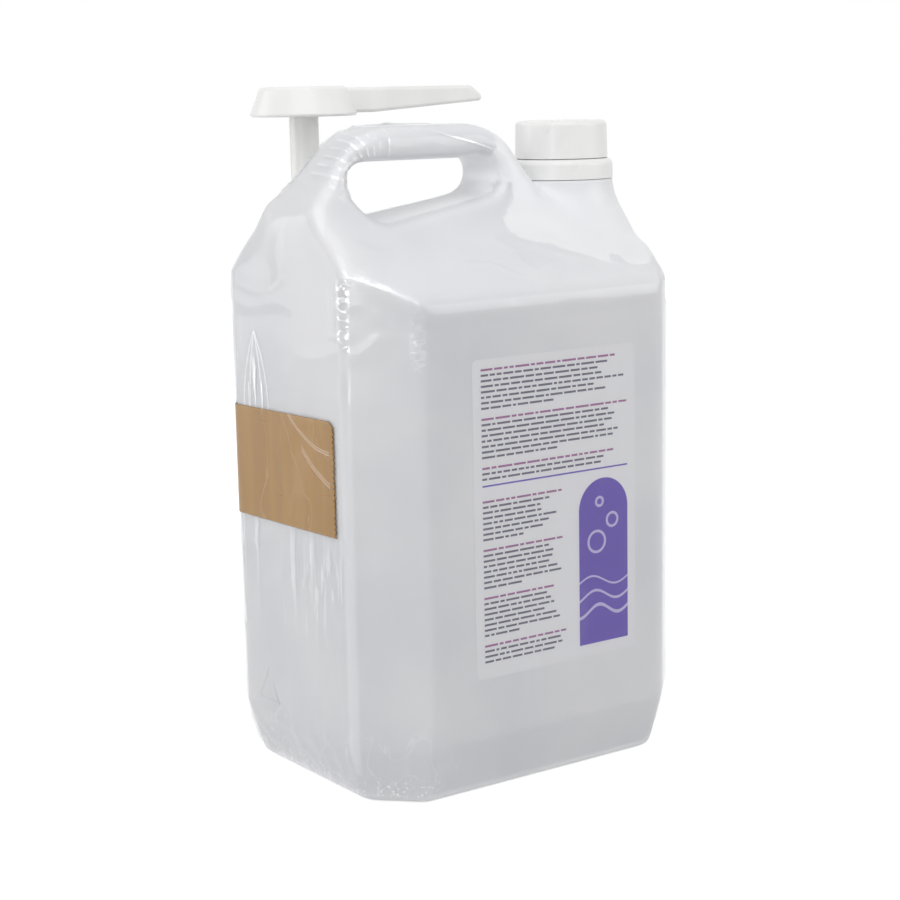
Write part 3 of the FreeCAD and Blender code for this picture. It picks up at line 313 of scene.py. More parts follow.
class Tree:
    """A node tree that is built by one method"""

    def __init__(self, tree):
        self.tree = tree

    def node(self, kind, settings=None, sockets=None, output=0):
        """Adds a node, sets it up, feeds its sockets and gives one of its outputs"""
        made = self.tree.nodes.new(kind)
        for name, value in (settings or {}).items():
            setattr(made, name, value)
        for key, value in (sockets or {}).items():
            if isinstance(value, Wire):
                self.tree.links.new(value.socket, made.inputs[key])
            else:
                made.inputs[key].default_value = value
        return Wire(self, made.outputs[output]) if made.outputs else made

    def math(self, operation, *values):
        return self.node("ShaderNodeMath", {"operation": operation}, dict(enumerate(values)))

    def ramp(self, value, low, high):
        """0 below low, 1 above high, smooth between them"""
        return self.node(
            "ShaderNodeMapRange", {"interpolation_type": "SMOOTHSTEP"}, {0: value, 1: low, 2: high})


class Finish(Tree):
    """A material on Object coordinates"""

    def __init__(self, name):
        self.material = bpy.data.materials.new(name)
        self.material.use_nodes = True
        super().__init__(self.material.node_tree)
        self.tree.nodes.clear()
        self.place = self.node("ShaderNodeTexCoord", output="Object")

    def axis(self, letter):
        return self.node("ShaderNodeSeparateXYZ", sockets={0: self.place}, output=letter)

    def cloud(self, scale, detail=2.0, stretch=(1, 1, 1), turn=(0, 0, 0), twist=0.0):
        """Noise from 0 to 1, with its grain stretched and turned"""
        place = self.node(
            "ShaderNodeMapping", sockets={"Vector": self.place, "Rotation": turn, "Scale": stretch})
        return self.node("ShaderNodeTexNoise", sockets={
            "Vector": place, "Scale": scale, "Detail": detail, "Distortion": twist})

    def mix(self, factor, first, second):
        return self.node("ShaderNodeMix", {"data_type": "RGBA"}, {0: factor, 6: first, 7: second}, output=2)

    def bump(self, height, strength=1.0):
        """A normal from a height in metres"""
        return self.node("ShaderNodeBump", sockets={"Strength": strength, "Distance": 1.0, "Height": height})

    def surface(self, sockets):
        return self.close(self.node("ShaderNodeBsdfPrincipled", sockets=sockets))

    def close(self, shader):
        self.node("ShaderNodeOutputMaterial", sockets={"Surface": shader})
        return self.material


class Graph(Tree):
    """A Geometry Nodes tree with named inputs"""

    def __init__(self, name, inputs):
        super().__init__(bpy.data.node_groups.new(name, "GeometryNodeTree"))
        self.values = inputs
        kinds = {int: "NodeSocketInt", float: "NodeSocketFloat"}
        for label, value in inputs.items():
            self.tree.interface.new_socket(label, in_out="INPUT", socket_type=kinds[type(value)])
        self.tree.interface.new_socket("Mesh", in_out="OUTPUT", socket_type="NodeSocketGeometry")
        self.entry = self.tree.nodes.new("NodeGroupInput")

    def input(self, label):
        return Wire(self, self.entry.outputs[label])

    def finish(self, geometry_wire, material):
        """Closes the tree with real geometry and its material"""
        real = self.node("GeometryNodeRealizeInstances", sockets={0: geometry_wire})
        dressed = self.node("GeometryNodeSetMaterial", sockets={0: real, 2: material})
        self.node("NodeGroupOutput", sockets={0: dressed})

    def bake(self, name):
        """The tree's result as a plain piece"""
        piece = new_piece(name, bpy.data.meshes.new(name))
        modifier = piece.modifiers.new(name, "NODES")
        modifier.node_group = self.tree
        for item in self.tree.interface.items_tree:
            if item.in_out == "INPUT":
                modifier[item.identifier] = self.values[item.name]
        return settle(piece)


def new_piece(name, mesh, *materials):
    piece = bpy.data.objects.new(name, mesh)
    bpy.context.scene.collection.objects.link(piece)
    for material in materials:
        mesh.materials.append(material)
    return piece


def settle(piece):
    """Turns a piece and its modifiers into one plain mesh"""
    graph = bpy.context.evaluated_depsgraph_get()
    plain = bpy.data.meshes.new_from_object(piece.evaluated_get(graph), depsgraph=graph)
    before = piece.data
    piece.modifiers.clear()
    piece.data = plain
    bpy.data.meshes.remove(before)
    plain.name = piece.name
    return piece


def publish(piece, body, slot, *nodes):
    """Makes a piece ride on its body and stand for the CAD nodes that it replaces"""
    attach(piece, body)
    if nodes:
        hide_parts(*nodes)


def dress(material, *names):
    """Gives CAD nodes a finish"""
    for name in names:
        materials = frame["nodes"][name].data.materials
        materials.clear()
        materials.append(material)


def grid_mesh(name, points, closed):
    """A mesh of quads through points in columns and rows"""
    columns, rows = points.shape[:2]
    mesh = bpy.data.meshes.new(name)
    faces = []
    for i in range(columns if closed else columns - 1):
        after = (i + 1) % columns
        for j in range(rows - 1):
            faces.append((i * rows + j, after * rows + j, after * rows + j + 1, i * rows + j + 1))
    mesh.from_pydata(points.reshape(-1, 3).tolist(), [], faces)
    mesh.shade_smooth()
    return mesh


def smooth_step(values, low, high):
    along = np.clip((values - low) / (high - low), 0, 1)
    return along * along * (3 - 2 * along)


def ripple(across, along, seed):
    """Noise between -1 and 1 on two coordinates"""
    flat = zip(across.ravel(), along.ravel())
    values = [noise.noise((float(a), float(b), seed * 7.3)) for a, b in flat]
    return np.array(values).reshape(across.shape)


def crease(across, along, seed):
    """Sharp ridges between 0 and 1 on two coordinates"""
    return (1 - np.abs(ripple(across, along, seed))) ** 4


def wrap_line(step):
    """Plan of the taut wrap round can and pump, from the front's middle round by the neck's end"""
    film = frame["nodes"]["stretch_film"].data.vertices
    plan = [vert.co.xy for vert in film if vert.co.z < FILM_LOW.z + MERGE]
    ring = [np.array(plan[i]) for i in geometry.convex_hull_2d(plan)]
    ring = np.array(ring + ring[:1])
    if np.cross(ring[:-1], ring[1:]).sum() < 0:
        ring = ring[::-1]
    runs = np.concatenate([[0], np.cumsum(np.linalg.norm(np.diff(ring, axis=0), axis=1))])
    count = int(runs[-1] / step)
    places = np.arange(count) * runs[-1] / count
    points = np.stack([np.interp(places, runs, ring[:, k]) for k in (0, 1)], axis=1)
    front = np.where(points[:, 1] < 0, np.abs(points[:, 0]), 1.0).argmin()
    points = np.roll(points, -front, axis=0)
    tangents = np.roll(points, -1, axis=0) - np.roll(points, 1, axis=0)
    tangents /= np.linalg.norm(tangents, axis=1)[:, None]
    normals = np.stack([tangents[:, 1], -tangents[:, 0]], axis=1)
    return places, points, normals


def can_plastic(settings):
    finish = Finish("can_plastic")
    uneven = finish.cloud(16, 3.0)
    sway = finish.cloud(26, 1.0, (1, 1, 0.6))
    pebble = finish.cloud(900, 2.0)
    colour_wire = finish.mix(finish.ramp(uneven, 0.3, 0.7), settings.shade, settings.plastic)
    normal = finish.bump(sway * 0.0004 + pebble * 0.000004)
    return finish.surface({
        "Base Color": colour_wire, "Roughness": uneven * 0.12 + 0.3, "Normal": normal, "IOR": 1.54,
        "Subsurface Weight": 0.08, "Subsurface Radius": (0.01, 0.01, 0.01), "Subsurface Scale": 1.0})


def moulded_plastic(name, tint, rough, grain=1100):
    """Injection-moulded plastic with fine mould grain and faint flow marks"""
    finish = Finish(name)
    flow = finish.cloud(45, 3.0, (1, 1, 0.4), twist=0.6)
    pebble = finish.cloud(grain, 2.0)
    darker = tuple(level * 0.95 for level in tint[:3]) + (1.0,)
    return finish.surface({
        "Base Color": finish.mix(finish.ramp(flow, 0.3, 0.7), darker, tint),
        "Roughness": flow * 0.1 + rough, "IOR": 1.5,
        "Normal": finish.bump(flow * 0.00003 + pebble * 0.000006)})


def natural_plastic(settings):
    finish = Finish("natural_plastic")
    flow = finish.cloud(60, 3.0, (1, 1, 0.15))
    return finish.surface({
        "Base Color": settings.natural, "Roughness": flow * 0.15 + 0.25, "IOR": 1.5,
        "Alpha": flow * 0.12 + 0.72, "Normal": finish.bump(flow * 0.00006)})


def seal_rubber(settings):
    finish = Finish("seal_rubber")
    dust = finish.cloud(600, 3.0)
    return finish.surface({
        "Base Color": finish.mix(dust * 0.4, settings.rubber, tone(95, 95, 97)),
        "Roughness": dust * 0.2 + 0.55, "Normal": finish.bump(dust * 0.00003)})


def bright_steel(name, tint, rough, stretch):
    finish = Finish(name)
    drawn = finish.cloud(900, 3.0, stretch)
    return finish.surface({
        "Base Color": tint, "Metallic": 1.0, "Roughness": drawn * 0.15 + rough,
        "Normal": finish.bump(drawn * 0.000004)})


def label_print(settings):
    """Paper with an arched colour block that carries three waves and a few bubbles"""
    finish = Finish("label_paper")
    x = finish.axis("X")
    z = finish.axis("Z")
    fibre = finish.cloud(1500, 3.0)
    right = LABEL_HIGH.x - settings.margin
    tall = settings.block_high - settings.block_low
    wide = right - settings.block_left
    off_middle = x - (right - wide / 2)
    over = z - (settings.block_high - wide / 2)
    upright = (abs(off_middle) < wide / 2) * (z > settings.block_low) * (over < 0.0)
    arch = (off_middle * off_middle + over * over < wide * wide / 4) * (over > 0.0)
    block = finish.math("MAXIMUM", upright, arch)
    lines = 0.0
    for row in range(WAVES):
        height = settings.block_low + tall * (0.2 + 0.09 * row)
        swing = finish.math("SINE", (x - right) * (2 * math.pi / (wide * (0.8 + 0.1 * row)))) * (wide * 0.09)
        lines = (abs(z - height - swing) < wide * (0.028 - 0.006 * row)) + lines
    for across, up, radius in BUBBLES:
        off_x = x - (settings.block_left + wide * across)
        off_z = z - (settings.block_low + tall * up)
        reach = finish.math("SQRT", off_x * off_x + off_z * off_z)
        lines = (abs(reach - wide * radius) < wide * 0.022) + lines
    rule = (abs(z - (settings.block_high + settings.margin)) < settings.bar * 0.4) * (x < right)
    base = finish.mix(finish.ramp(fibre, 0.2, 0.8) * 0.5, settings.paper, tone(232, 232, 236))
    inked = finish.mix(block, base, settings.block)
    inked = finish.mix(finish.math("MINIMUM", lines, 1.0) * block, inked, settings.pale)
    inked = finish.mix(rule * (x > LABEL_LOW.x + settings.margin), inked, settings.block)
    return finish.surface({
        "Base Color": inked, "Roughness": fibre * 0.15 + 0.38 - block * 0.08, "IOR": 1.48,
        "Normal": finish.bump(fibre * 0.00001)})


def print_ink(name, tint):
    finish = Finish(name)
    screen = finish.cloud(2500, 2.0)
    return finish.surface({
        "Base Color": finish.mix(screen * 0.5, tint, tone(170, 165, 180)), "Roughness": screen * 0.1 + 0.4})


def tape_brown(settings):
    """Brown tape with drawn lines, trapped air and two pleats at its front end"""
    finish = Finish("tape_brown")
    x, y, z = (finish.axis(letter) for letter in "XYZ")
    bubbles = finish.ramp(finish.cloud(70, 4.0, (1, 1, 0.5), twist=1.2), 0.5, 0.72)
    pulled = finish.cloud(240, 2.0, (0.12, 0.12, 1))
    bands = finish.cloud(130, 2.0, (1, 1, 0.05))
    lines = finish.ramp(abs(finish.cloud(34, 3.0, (1, 1, 0.45), (0.5, 0.3, 0), 0.8) - 0.5), 0.012, 0.0)
    run = y - (TAPE_LOW.y + settings.tooth * 2)
    long_pleat = z - settings.pleat_low - run * run * settings.pleat_curl
    short_pleat = long_pleat + settings.pleat_drop - run * settings.pleat_slope
    on_post = (x < CAN_LOW.x * 0.98) * (run > 0.0)
    pleats = 0.0
    for pleat, reach, width in ((long_pleat, 1.0, 0.0007), (short_pleat, 0.62, 0.001)):
        edge = finish.ramp(abs(abs(pleat) - width), 0.0004, 0.0001)
        fill = finish.ramp(abs(pleat), width, width * 0.8) * 0.35
        pleats = (edge + fill) * (run < settings.pleat_run * reach) + pleats
    pleats = finish.math("MINIMUM", pleats * on_post, 1.0)
    darker = tuple(level * 0.88 for level in settings.brown[:3]) + (1.0,)
    brown = finish.mix(finish.ramp(bands, 0.3, 0.7), darker, settings.brown)
    brown = finish.mix(bubbles * 0.1, brown, settings.crease)
    brown = finish.mix(lines * 0.18, brown, settings.crease)
    return finish.surface({
        "Base Color": finish.mix(pleats, brown, settings.crease),
        "Roughness": pulled * 0.12 + bubbles * 0.12 + 0.24, "IOR": 1.45, "Specular IOR Level": 0.25,
        "Coat Weight": 0.08, "Coat Roughness": 0.1,
        "Normal": finish.bump(pulled * 0.00002 + lines * 0.00006 + bubbles * 0.00004 + pleats * 0.0003)})


def painted_film_highlights(finish, settings):
    """Painted highlights on the film: its gloss share raised along creases and streaks placed on the can's
    edges, beside the tape, on the handle and round the foot, where the film then mirrors its white
    surroundings
    """
    x, y, z = (finish.axis(letter) for letter in "XYZ")

    def window(value, low, high, soft=0.004):
        return finish.ramp(value, low - soft, low + soft) * finish.ramp(value, high + soft, high - soft)

    def beside(edge_x, edge_y, wide):
        off_x = x - edge_x
        off_y = y - edge_y
        return finish.ramp(finish.math("SQRT", off_x * off_x + off_y * off_y), wide, wide * 0.3)

    inset = settings.corner
    on_post = finish.ramp(x, CAN_LOW.x + 0.004, CAN_LOW.x + 0.001)
    flecks = finish.ramp(finish.cloud(330, 1.0, (0.8, 0.8, 1.2), (0.4, 0, 0), 0.6), 0.48, 0.62)
    streaks = finish.ramp(finish.cloud(190, 2.0, (1, 1, 0.06)), 0.55, 0.68)
    rain = finish.ramp(finish.cloud(480, 2.0, (1, 1, 0.12)), 0.56, 0.66)
    torn = finish.ramp(abs(finish.cloud(46, 3.0, (1, 1, 0.6), twist=0.8) - 0.5), 0.011, 0.002)
    specks = finish.ramp(finish.cloud(620, 2.0), 0.57, 0.68)

    near_edge = beside(CAN_LOW.x + 0.001, CAN_LOW.y + inset - 0.001, NEAR_WIDE)
    front_edge = beside(CAN_LOW.x + inset - 0.001, CAN_LOW.y + 0.001, FRONT_WIDE)
    far_edge = beside(CAN_LOW.x + 0.001, CAN_HIGH.y - inset + 0.001, FAR_WIDE)
    # Painted highlight along the near upright edge: a steady band over its rounding and broken flecks higher
    # up
    chain = near_edge * (window(z, settings.nick_low, settings.nick_high) * flecks * EDGE_FLECKS + EDGE_BAND)
    corner = front_edge * window(z, settings.nick_low - 0.008, FILM_HIGH.z + 0.006)
    corner = corner * (flecks * FRONT_FLECKS + FRONT_BAND)
    # Painted highlight streak where roof and corner facet meet
    eave_line = abs(z - settings.eave_high + (x - CAN_LOW.x) * settings.eave_slope)
    on_facet = finish.ramp(abs((x - CAN_LOW.x) + (y - (CAN_LOW.y + inset))), 0.006, 0.002)
    eave = finish.ramp(eave_line, 0.0022, 0.0006) * on_facet
    eave = eave * window(x, CAN_LOW.x + 0.003, CAN_LOW.x + inset * 0.7) * (flecks * EAVE_FLECKS + EAVE_BAND)
    hair = far_edge * rain * window(z, TAPE_LOW.z * 0.5, settings.nick_high) * HAIR

    under = streaks * on_post * window(z, settings.streak_low, TAPE_LOW.z, 0.012) * UNDER_TAPE
    drizzle = rain * window(y, CAN_LOW.y + inset, -0.008, 0.008) * on_post
    drizzle = drizzle * window(z, settings.streak_low, TAPE_LOW.z - 0.004, 0.01) * DRIZZLE

    along = (z - TAPE_HIGH.z) / settings.leaf_height
    off = abs(y - settings.leaf_place)
    swell = (1 - along * along) * settings.leaf_half
    loops = finish.ramp(abs(off - swell), *THIN_LINE) + finish.ramp(abs(off - swell * 0.5), *THIN_LINE)
    heart = rain * (off < swell * 0.7) * finish.ramp(along, 0.8, 0.4)
    leaf = (loops * LEAF_LOOPS + heart * LEAF_HEART) * on_post * (along > 0.0) * (along < 1.0)

    foot = torn * finish.ramp(z, settings.foot_high, settings.foot_high * 0.6)
    foot = foot * (finish.ramp(x, CAN_LOW.x * 0.45, CAN_LOW.x * 0.7) + finish.ramp(x, 0.065, 0.078))
    hem = specks * finish.ramp(z, 0.014, 0.006) * finish.ramp(x, CAN_LOW.x * 0.6, CAN_LOW.x * 0.75)

    bend = finish.math("ARCTAN2", z - settings.bend_height, x - settings.bend_place)
    strokes = finish.ramp(finish.math("SINE", bend * 34 + y * 90), 0.4, 0.9) * (y < 0.0)
    strokes = strokes * window(bend, 1.7, 2.9, 0.25) * finish.ramp(finish.cloud(110, 2.0), 0.34, 0.5)
    streak_line = abs(z - settings.streak_high + (x - settings.streak_place) * 0.29)
    handle = finish.ramp(streak_line, 0.0007, 0.0002)
    handle = handle * window(x, settings.streak_place, settings.streak_place + 0.034)
    handle = handle * (y < 0.0) * (z > settings.bend_height)
    handle = handle + strokes * (z > settings.bend_height - 0.004)
    film_end = finish.ramp(abs(x - settings.end_place), 0.0006, 0.0002) * (y < 0.0)
    handle = handle + film_end * (z > settings.bend_height + 0.012) * FILM_END
    total = chain + corner + eave + hair + under + drizzle + leaf
    total = total + foot * FOOT + hem * HEM + handle * HANDLE
    return finish.math("MINIMUM", total, 1.0)


def film_clear(settings):
    """Clear film: light passes, gloss grows at a grazing angle, and painted highlights raise the gloss along
    placed creases and streaks
    """
    finish = Finish("film_clear")
    stretch = finish.cloud(120, 3.0, (1, 1, 0.25), twist=0.5)
    # Painted highlights: where their masks are high the film mirrors its white surroundings as bright marks
    painted_sheen = painted_film_highlights(finish, settings)
    edge = finish.node("ShaderNodeFresnel", sockets={"IOR": 1.5})
    haze = finish.ramp(stretch, 0.55, 0.8) * settings.haze
    share_wire = finish.math("MINIMUM", edge * 0.6 + haze + painted_sheen * settings.painted_sheen, 1.0)
    clear = finish.node("ShaderNodeBsdfTransparent")
    gloss = finish.node("ShaderNodeBsdfGlossy", sockets={
        "Color": settings.tint, "Roughness": settings.gloss,
        "Normal": finish.bump(stretch * 0.00005 + painted_sheen * 0.0001)})
    return finish.close(finish.node("ShaderNodeMixShader", sockets={0: share_wire, 1: clear, 2: gloss}))


def split_can():
    """The can's outside up to the neck's foot, and its neck with the inside, as two meshes to work on"""
    work = bmesh.new()
    work.from_mesh(frame["nodes"]["can_body"].data)
    bmesh.ops.remove_doubles(work, verts=work.verts, dist=MERGE)

    def reach(vert):
        return (vert.co.xy - NECK_AXIS.xy).length

    foot = max(vert.co.z for vert in work.verts if reach(vert) > BAND_RADIUS * 0.9 and vert.co.z < BAND_LOW.z
               and reach(vert) < BAND_RADIUS)
    ledge = [f for f in work.faces if all(abs(v.co.z - foot) < MERGE * 10 for v in f.verts)]
    bmesh.ops.delete(work, geom=ledge, context="FACES")
    start = min(work.verts, key=lambda vert: vert.co.z)
    outside = {start}
    waiting = [start]
    while waiting:
        vert = waiting.pop()
        for edge in vert.link_edges:
            other = edge.other_vert(vert)
            if other not in outside:
                outside.add(other)
                waiting.append(other)
    work.verts.index_update()
    chosen = {vert.index for vert in outside}
    inner = work.copy()
    bmesh.ops.delete(work, geom=[v for v in work.verts if v.index not in chosen], context="VERTS")
    bmesh.ops.delete(inner, geom=[v for v in inner.verts if v.index in chosen], context="VERTS")
    return work, inner, foot


def flow_weights(settings, mesh, foot):
    """How much each point of the shell belongs to the soft stretches round neck, gable and finger gap"""
    places = np.empty(len(mesh.vertices) * 3)
    mesh.vertices.foreach_get("co", places)
    x, y, z = places.reshape(-1, 3).T
    reach = np.hypot(x - NECK_AXIS.x, y - NECK_AXIS.y)
    neck = 1 - smooth_step(reach, BAND_RADIUS, BAND_RADIUS * 2.6)
    neck *= smooth_step(z, foot - BAND_RADIUS * 2.3, foot - BAND_RADIUS * 1.8)
    neck *= 1 - smooth_step(z, foot - BAND_RADIUS * 0.35, foot)
    beside = np.maximum(settings.gap_left - x, x - settings.gap_right)
    off = np.hypot(np.maximum(beside, 0), np.maximum(settings.gap_low - z, 0))
    gap = 1 - smooth_step(off, *GAP_REACH)
    gap *= 1 - smooth_step(z, settings.gap_low + 0.008, settings.gap_high)
    leg = 1 - smooth_step(np.abs(x - settings.gap_right), *LEG_REACH)
    leg *= 1 - smooth_step(np.abs(z - (settings.gap_low + settings.gap_high) / 2), *LEG_RISE)
    gable = 1 - smooth_step(x - CAN_LOW.x, *GABLE_REACH)
    gable *= smooth_step(z - settings.shoulder, *GABLE_RISE)
    return np.maximum(neck, np.maximum(np.maximum(gap, leg) * GAP_FLOW, gable * GABLE_FLOW))


def swell_roof(settings, mesh):
    """Fills the hollow between the post and the roof's slopes at the post's end"""
    for vert in mesh.vertices:
        off = abs(vert.co.y)
        amount = 1 - smooth_step(vert.co.x, CAN_LOW.x, CAN_LOW.x + SWELL_RUN)
        amount *= smooth_step(off, *SWELL_INNER) * (1 - smooth_step(off, *SWELL_OUTER))
        amount *= smooth_step(vert.co.z - settings.shoulder, *SWELL_RISE)
        vert.co.z += settings.swell * amount


def soften_can(settings):
    """The can's shell with the soft edges of a blow-moulded piece"""
    outer, inner, foot = split_can()
    rim = [edge for edge in outer.edges if edge.is_boundary]
    raised = bmesh.ops.extrude_edge_only(outer, edges=rim)["geom"]
    for vert in raised:
        if isinstance(vert, bmesh.types.BMVert):
            vert.co.z += BAND_RADIUS / 2
    bmesh.ops.holes_fill(outer, edges=[edge for edge in outer.edges if edge.is_boundary])
    bmesh.ops.recalc_face_normals(outer, faces=outer.faces)
    mesh = bpy.data.meshes.new("can_shell")
    outer.to_mesh(mesh)
    outer.free()
    piece = new_piece("can_shell", mesh)
    remesh = piece.modifiers.new("even_faces", "REMESH")
    remesh.mode = "VOXEL"
    remesh.voxel_size = settings.grain
    settle(piece)
    swell_roof(settings, piece.data)
    flow = piece.vertex_groups.new(name="flow")
    for vert, weight in zip(piece.data.vertices, flow_weights(settings, piece.data, foot)):
        flow.add([vert.index], float(weight), "REPLACE")
    soft = piece.modifiers.new("soft_edges", "SMOOTH")
    soft.iterations = settings.soften
    flowing = piece.modifiers.new("flowing_neck", "SMOOTH")
    flowing.iterations = settings.flow
    flowing.vertex_group = flow.name
    settle(piece)
    piece.vertex_groups.clear()
    work = bmesh.new()
    work.from_mesh(piece.data)
    chimney = []
    for face in work.faces:
        middle = face.calc_center_median()
        if middle.z > foot - settings.grain * 2 and (middle.xy - NECK_AXIS.xy).length < BAND_RADIUS * 1.04:
            chimney.append(face)
    cut = set(chimney)
    for face in chimney:
        cut.update(face.edges)
        cut.update(face.verts)
    bmesh.ops.bisect_plane(
        work, geom=list(cut), plane_co=(0, 0, foot), plane_no=(0, 0, 1), clear_outer=True, dist=MERGE)
    neck = bpy.data.meshes.new("neck")
    inner.to_mesh(neck)
    inner.free()
    work.from_mesh(neck)
    bmesh.ops.bridge_loops(work, edges=[edge for edge in work.edges if edge.is_boundary])
    bmesh.ops.recalc_face_normals(work, faces=work.faces)
    work.to_mesh(piece.data)
    work.free()
    bpy.data.meshes.remove(neck)
    piece.data.shade_smooth()
    piece.data.set_sharp_from_angle(angle=math.radians(38))
    return piece


def moulded_mark(settings):
    """A moulded triangle on the post's end panel, as a low bead"""
    line = bpy.data.curves.new("moulded_mark", "CURVE")
    line.dimensions = "3D"
    line.bevel_depth = settings.mark_line / 2
    line.bevel_resolution = 3
    spline = line.splines.new("POLY")
    spline.points.add(2)
    tall = settings.mark_side * math.sqrt(3) / 2
    corners = ((-settings.mark_side / 2, 0), (settings.mark_side / 2, 0), (0, tall))
    for point, (y, z) in zip(spline.points, corners):
        point.co = (0, settings.mark_place + y, settings.mark_height + z, 1)
    spline.use_cyclic_u = True
    drawn = new_curve_mesh("moulded_mark", line)
    flatten = settings.mark_rise / (settings.mark_line / 2)
    for vert in drawn.data.vertices:
        vert.co.x = CAN_LOW.x + settings.mark_rise * 0.5 + vert.co.x * flatten
    drawn.data.shade_smooth()
    return drawn


def new_curve_mesh(name, line):
    """A curve made a plain mesh piece"""
    drawn = bpy.data.objects.new(name + "_line", line)
    bpy.context.scene.collection.objects.link(drawn)
    graph = bpy.context.evaluated_depsgraph_get()
    mesh = bpy.data.meshes.new_from_object(drawn.evaluated_get(graph), depsgraph=graph)
    bpy.data.objects.remove(drawn)
    bpy.data.curves.remove(line)
    return new_piece(name, mesh)


def small_print(settings, name, left, top, wide, lines, material, headings):
    """Lines of print as plain bars of uneven length, either the headings or the rest"""
    words = int(wide / (settings.short + settings.space)) + 1
    graph = Graph(name, {
        "Lines": lines, "Words": words, "Pitch": settings.pitch, "Width": wide, "Height": settings.bar,
        "Shortest": settings.short, "Longest": settings.long, "Space": settings.space,
        "Paragraph": settings.paragraph, "Headings": int(headings), "Left": left, "Top": top,
        "Out": LABEL_LOW.y - settings.bar * 0.03, "Seed": settings.seed})
    index = graph.node("GeometryNodeInputIndex")
    line = graph.math("FLOOR", index / graph.input("Words"))
    lengths = graph.node("FunctionNodeRandomValue", {"data_type": "FLOAT"}, {
        2: graph.input("Shortest"), 3: graph.input("Longest"), 7: index, 8: graph.input("Seed")}, output=1)
    advance = lengths + graph.input("Space")
    start = graph.node("GeometryNodeAccumulateField", {"data_type": "FLOAT"}, {0: advance, 1: line}, output=1)
    in_paragraph = graph.math("MODULO", line, graph.input("Paragraph"))
    ragged = graph.node("FunctionNodeRandomValue", {"data_type": "FLOAT"}, {
        2: 0.8, 3: 1.0, 7: line, 8: graph.input("Seed")}, output=1)
    last_line = in_paragraph > graph.input("Paragraph") - 2.5
    room = graph.input("Width") * ragged * (1 - last_line * 0.45)
    is_heading = in_paragraph < 0.5
    wrong_kind = abs(is_heading - graph.input("Headings"))
    blank = in_paragraph > graph.input("Paragraph") - 1.5
    spare = (start + lengths > room) + blank + wrong_kind
    centre = graph.node("ShaderNodeCombineXYZ", sockets={
        0: graph.input("Left") + start + lengths * 0.5, 1: graph.input("Out"),
        2: graph.input("Top") - line * graph.input("Pitch")})
    points = graph.node("GeometryNodePoints", sockets={0: graph.input("Lines") * graph.input("Words")})
    spread = graph.node("GeometryNodeSetPosition", sockets={0: points, 2: centre})
    outline = graph.node("GeometryNodeCurvePrimitiveQuadrilateral", sockets={0: 1.0, 1: 1.0})
    bar = graph.node("GeometryNodeFillCurve", sockets={0: outline})
    upright = graph.node("GeometryNodeTransform", sockets={0: bar, 2: (math.pi / 2, 0, 0)})
    stretch = graph.node("ShaderNodeCombineXYZ", sockets={0: lengths, 1: 1.0, 2: graph.input("Height")})
    kept = graph.math("LESS_THAN", spare, 0.5)
    placed = graph.node("GeometryNodeInstanceOnPoints", sockets={0: spread, 1: kept, 2: upright, 6: stretch})
    graph.finish(placed, material)
    return graph.bake(name)


def coil_spring(settings, material):
    """Compression spring with closed end turns, as a wire along a worked-out coil"""
    closed = settings.wire * 2 + settings.end_gap
    graph = Graph("return_spring", {
        "Turns": settings.turns, "Radius": SPRING_RADIUS - settings.wire, "Wire": settings.wire,
        "Low": SPRING_LOW.z + settings.wire, "High": SPRING_HIGH.z - settings.wire, "Closed pitch": closed,
        "Steps": settings.turns * 48})
    line = graph.node("GeometryNodeCurvePrimitiveLine", sockets={1: (0, 0, 1)})
    dense = graph.node("GeometryNodeResampleCurve", sockets={0: line, 2: graph.input("Steps")})
    turn = graph.node("GeometryNodeSplineParameter") * graph.input("Turns")
    angle = turn * (2 * math.pi)
    open_turns = graph.input("Turns") - 2
    tall = graph.input("High") - graph.input("Low")
    open_pitch = (tall - graph.input("Closed pitch") * 2) / open_turns

    def within(value, top):
        return graph.math("MINIMUM", graph.math("MAXIMUM", value, 0.0), top)

    height = graph.input("Low") + (within(turn, 1.0) + within(turn - open_turns - 1, 1.0)) * closed
    height = height + within(turn - 1, open_turns) * open_pitch
    place = graph.node("ShaderNodeCombineXYZ", sockets={
        0: graph.math("COSINE", angle) * graph.input("Radius") + SPRING_AXIS.x,
        1: graph.math("SINE", angle) * graph.input("Radius") + SPRING_AXIS.y, 2: height})
    coil = graph.node("GeometryNodeSetPosition", sockets={0: dense, 2: place})
    section = graph.node("GeometryNodeCurvePrimitiveCircle", sockets={0: 12, 4: graph.input("Wire")})
    wire = graph.node("GeometryNodeCurveToMesh", sockets={0: coil, 1: section, 3: True})
    smooth = graph.node("GeometryNodeSetShadeSmooth", sockets={0: wire})
    graph.finish(smooth, material)
    return graph.bake("return_spring_coil")


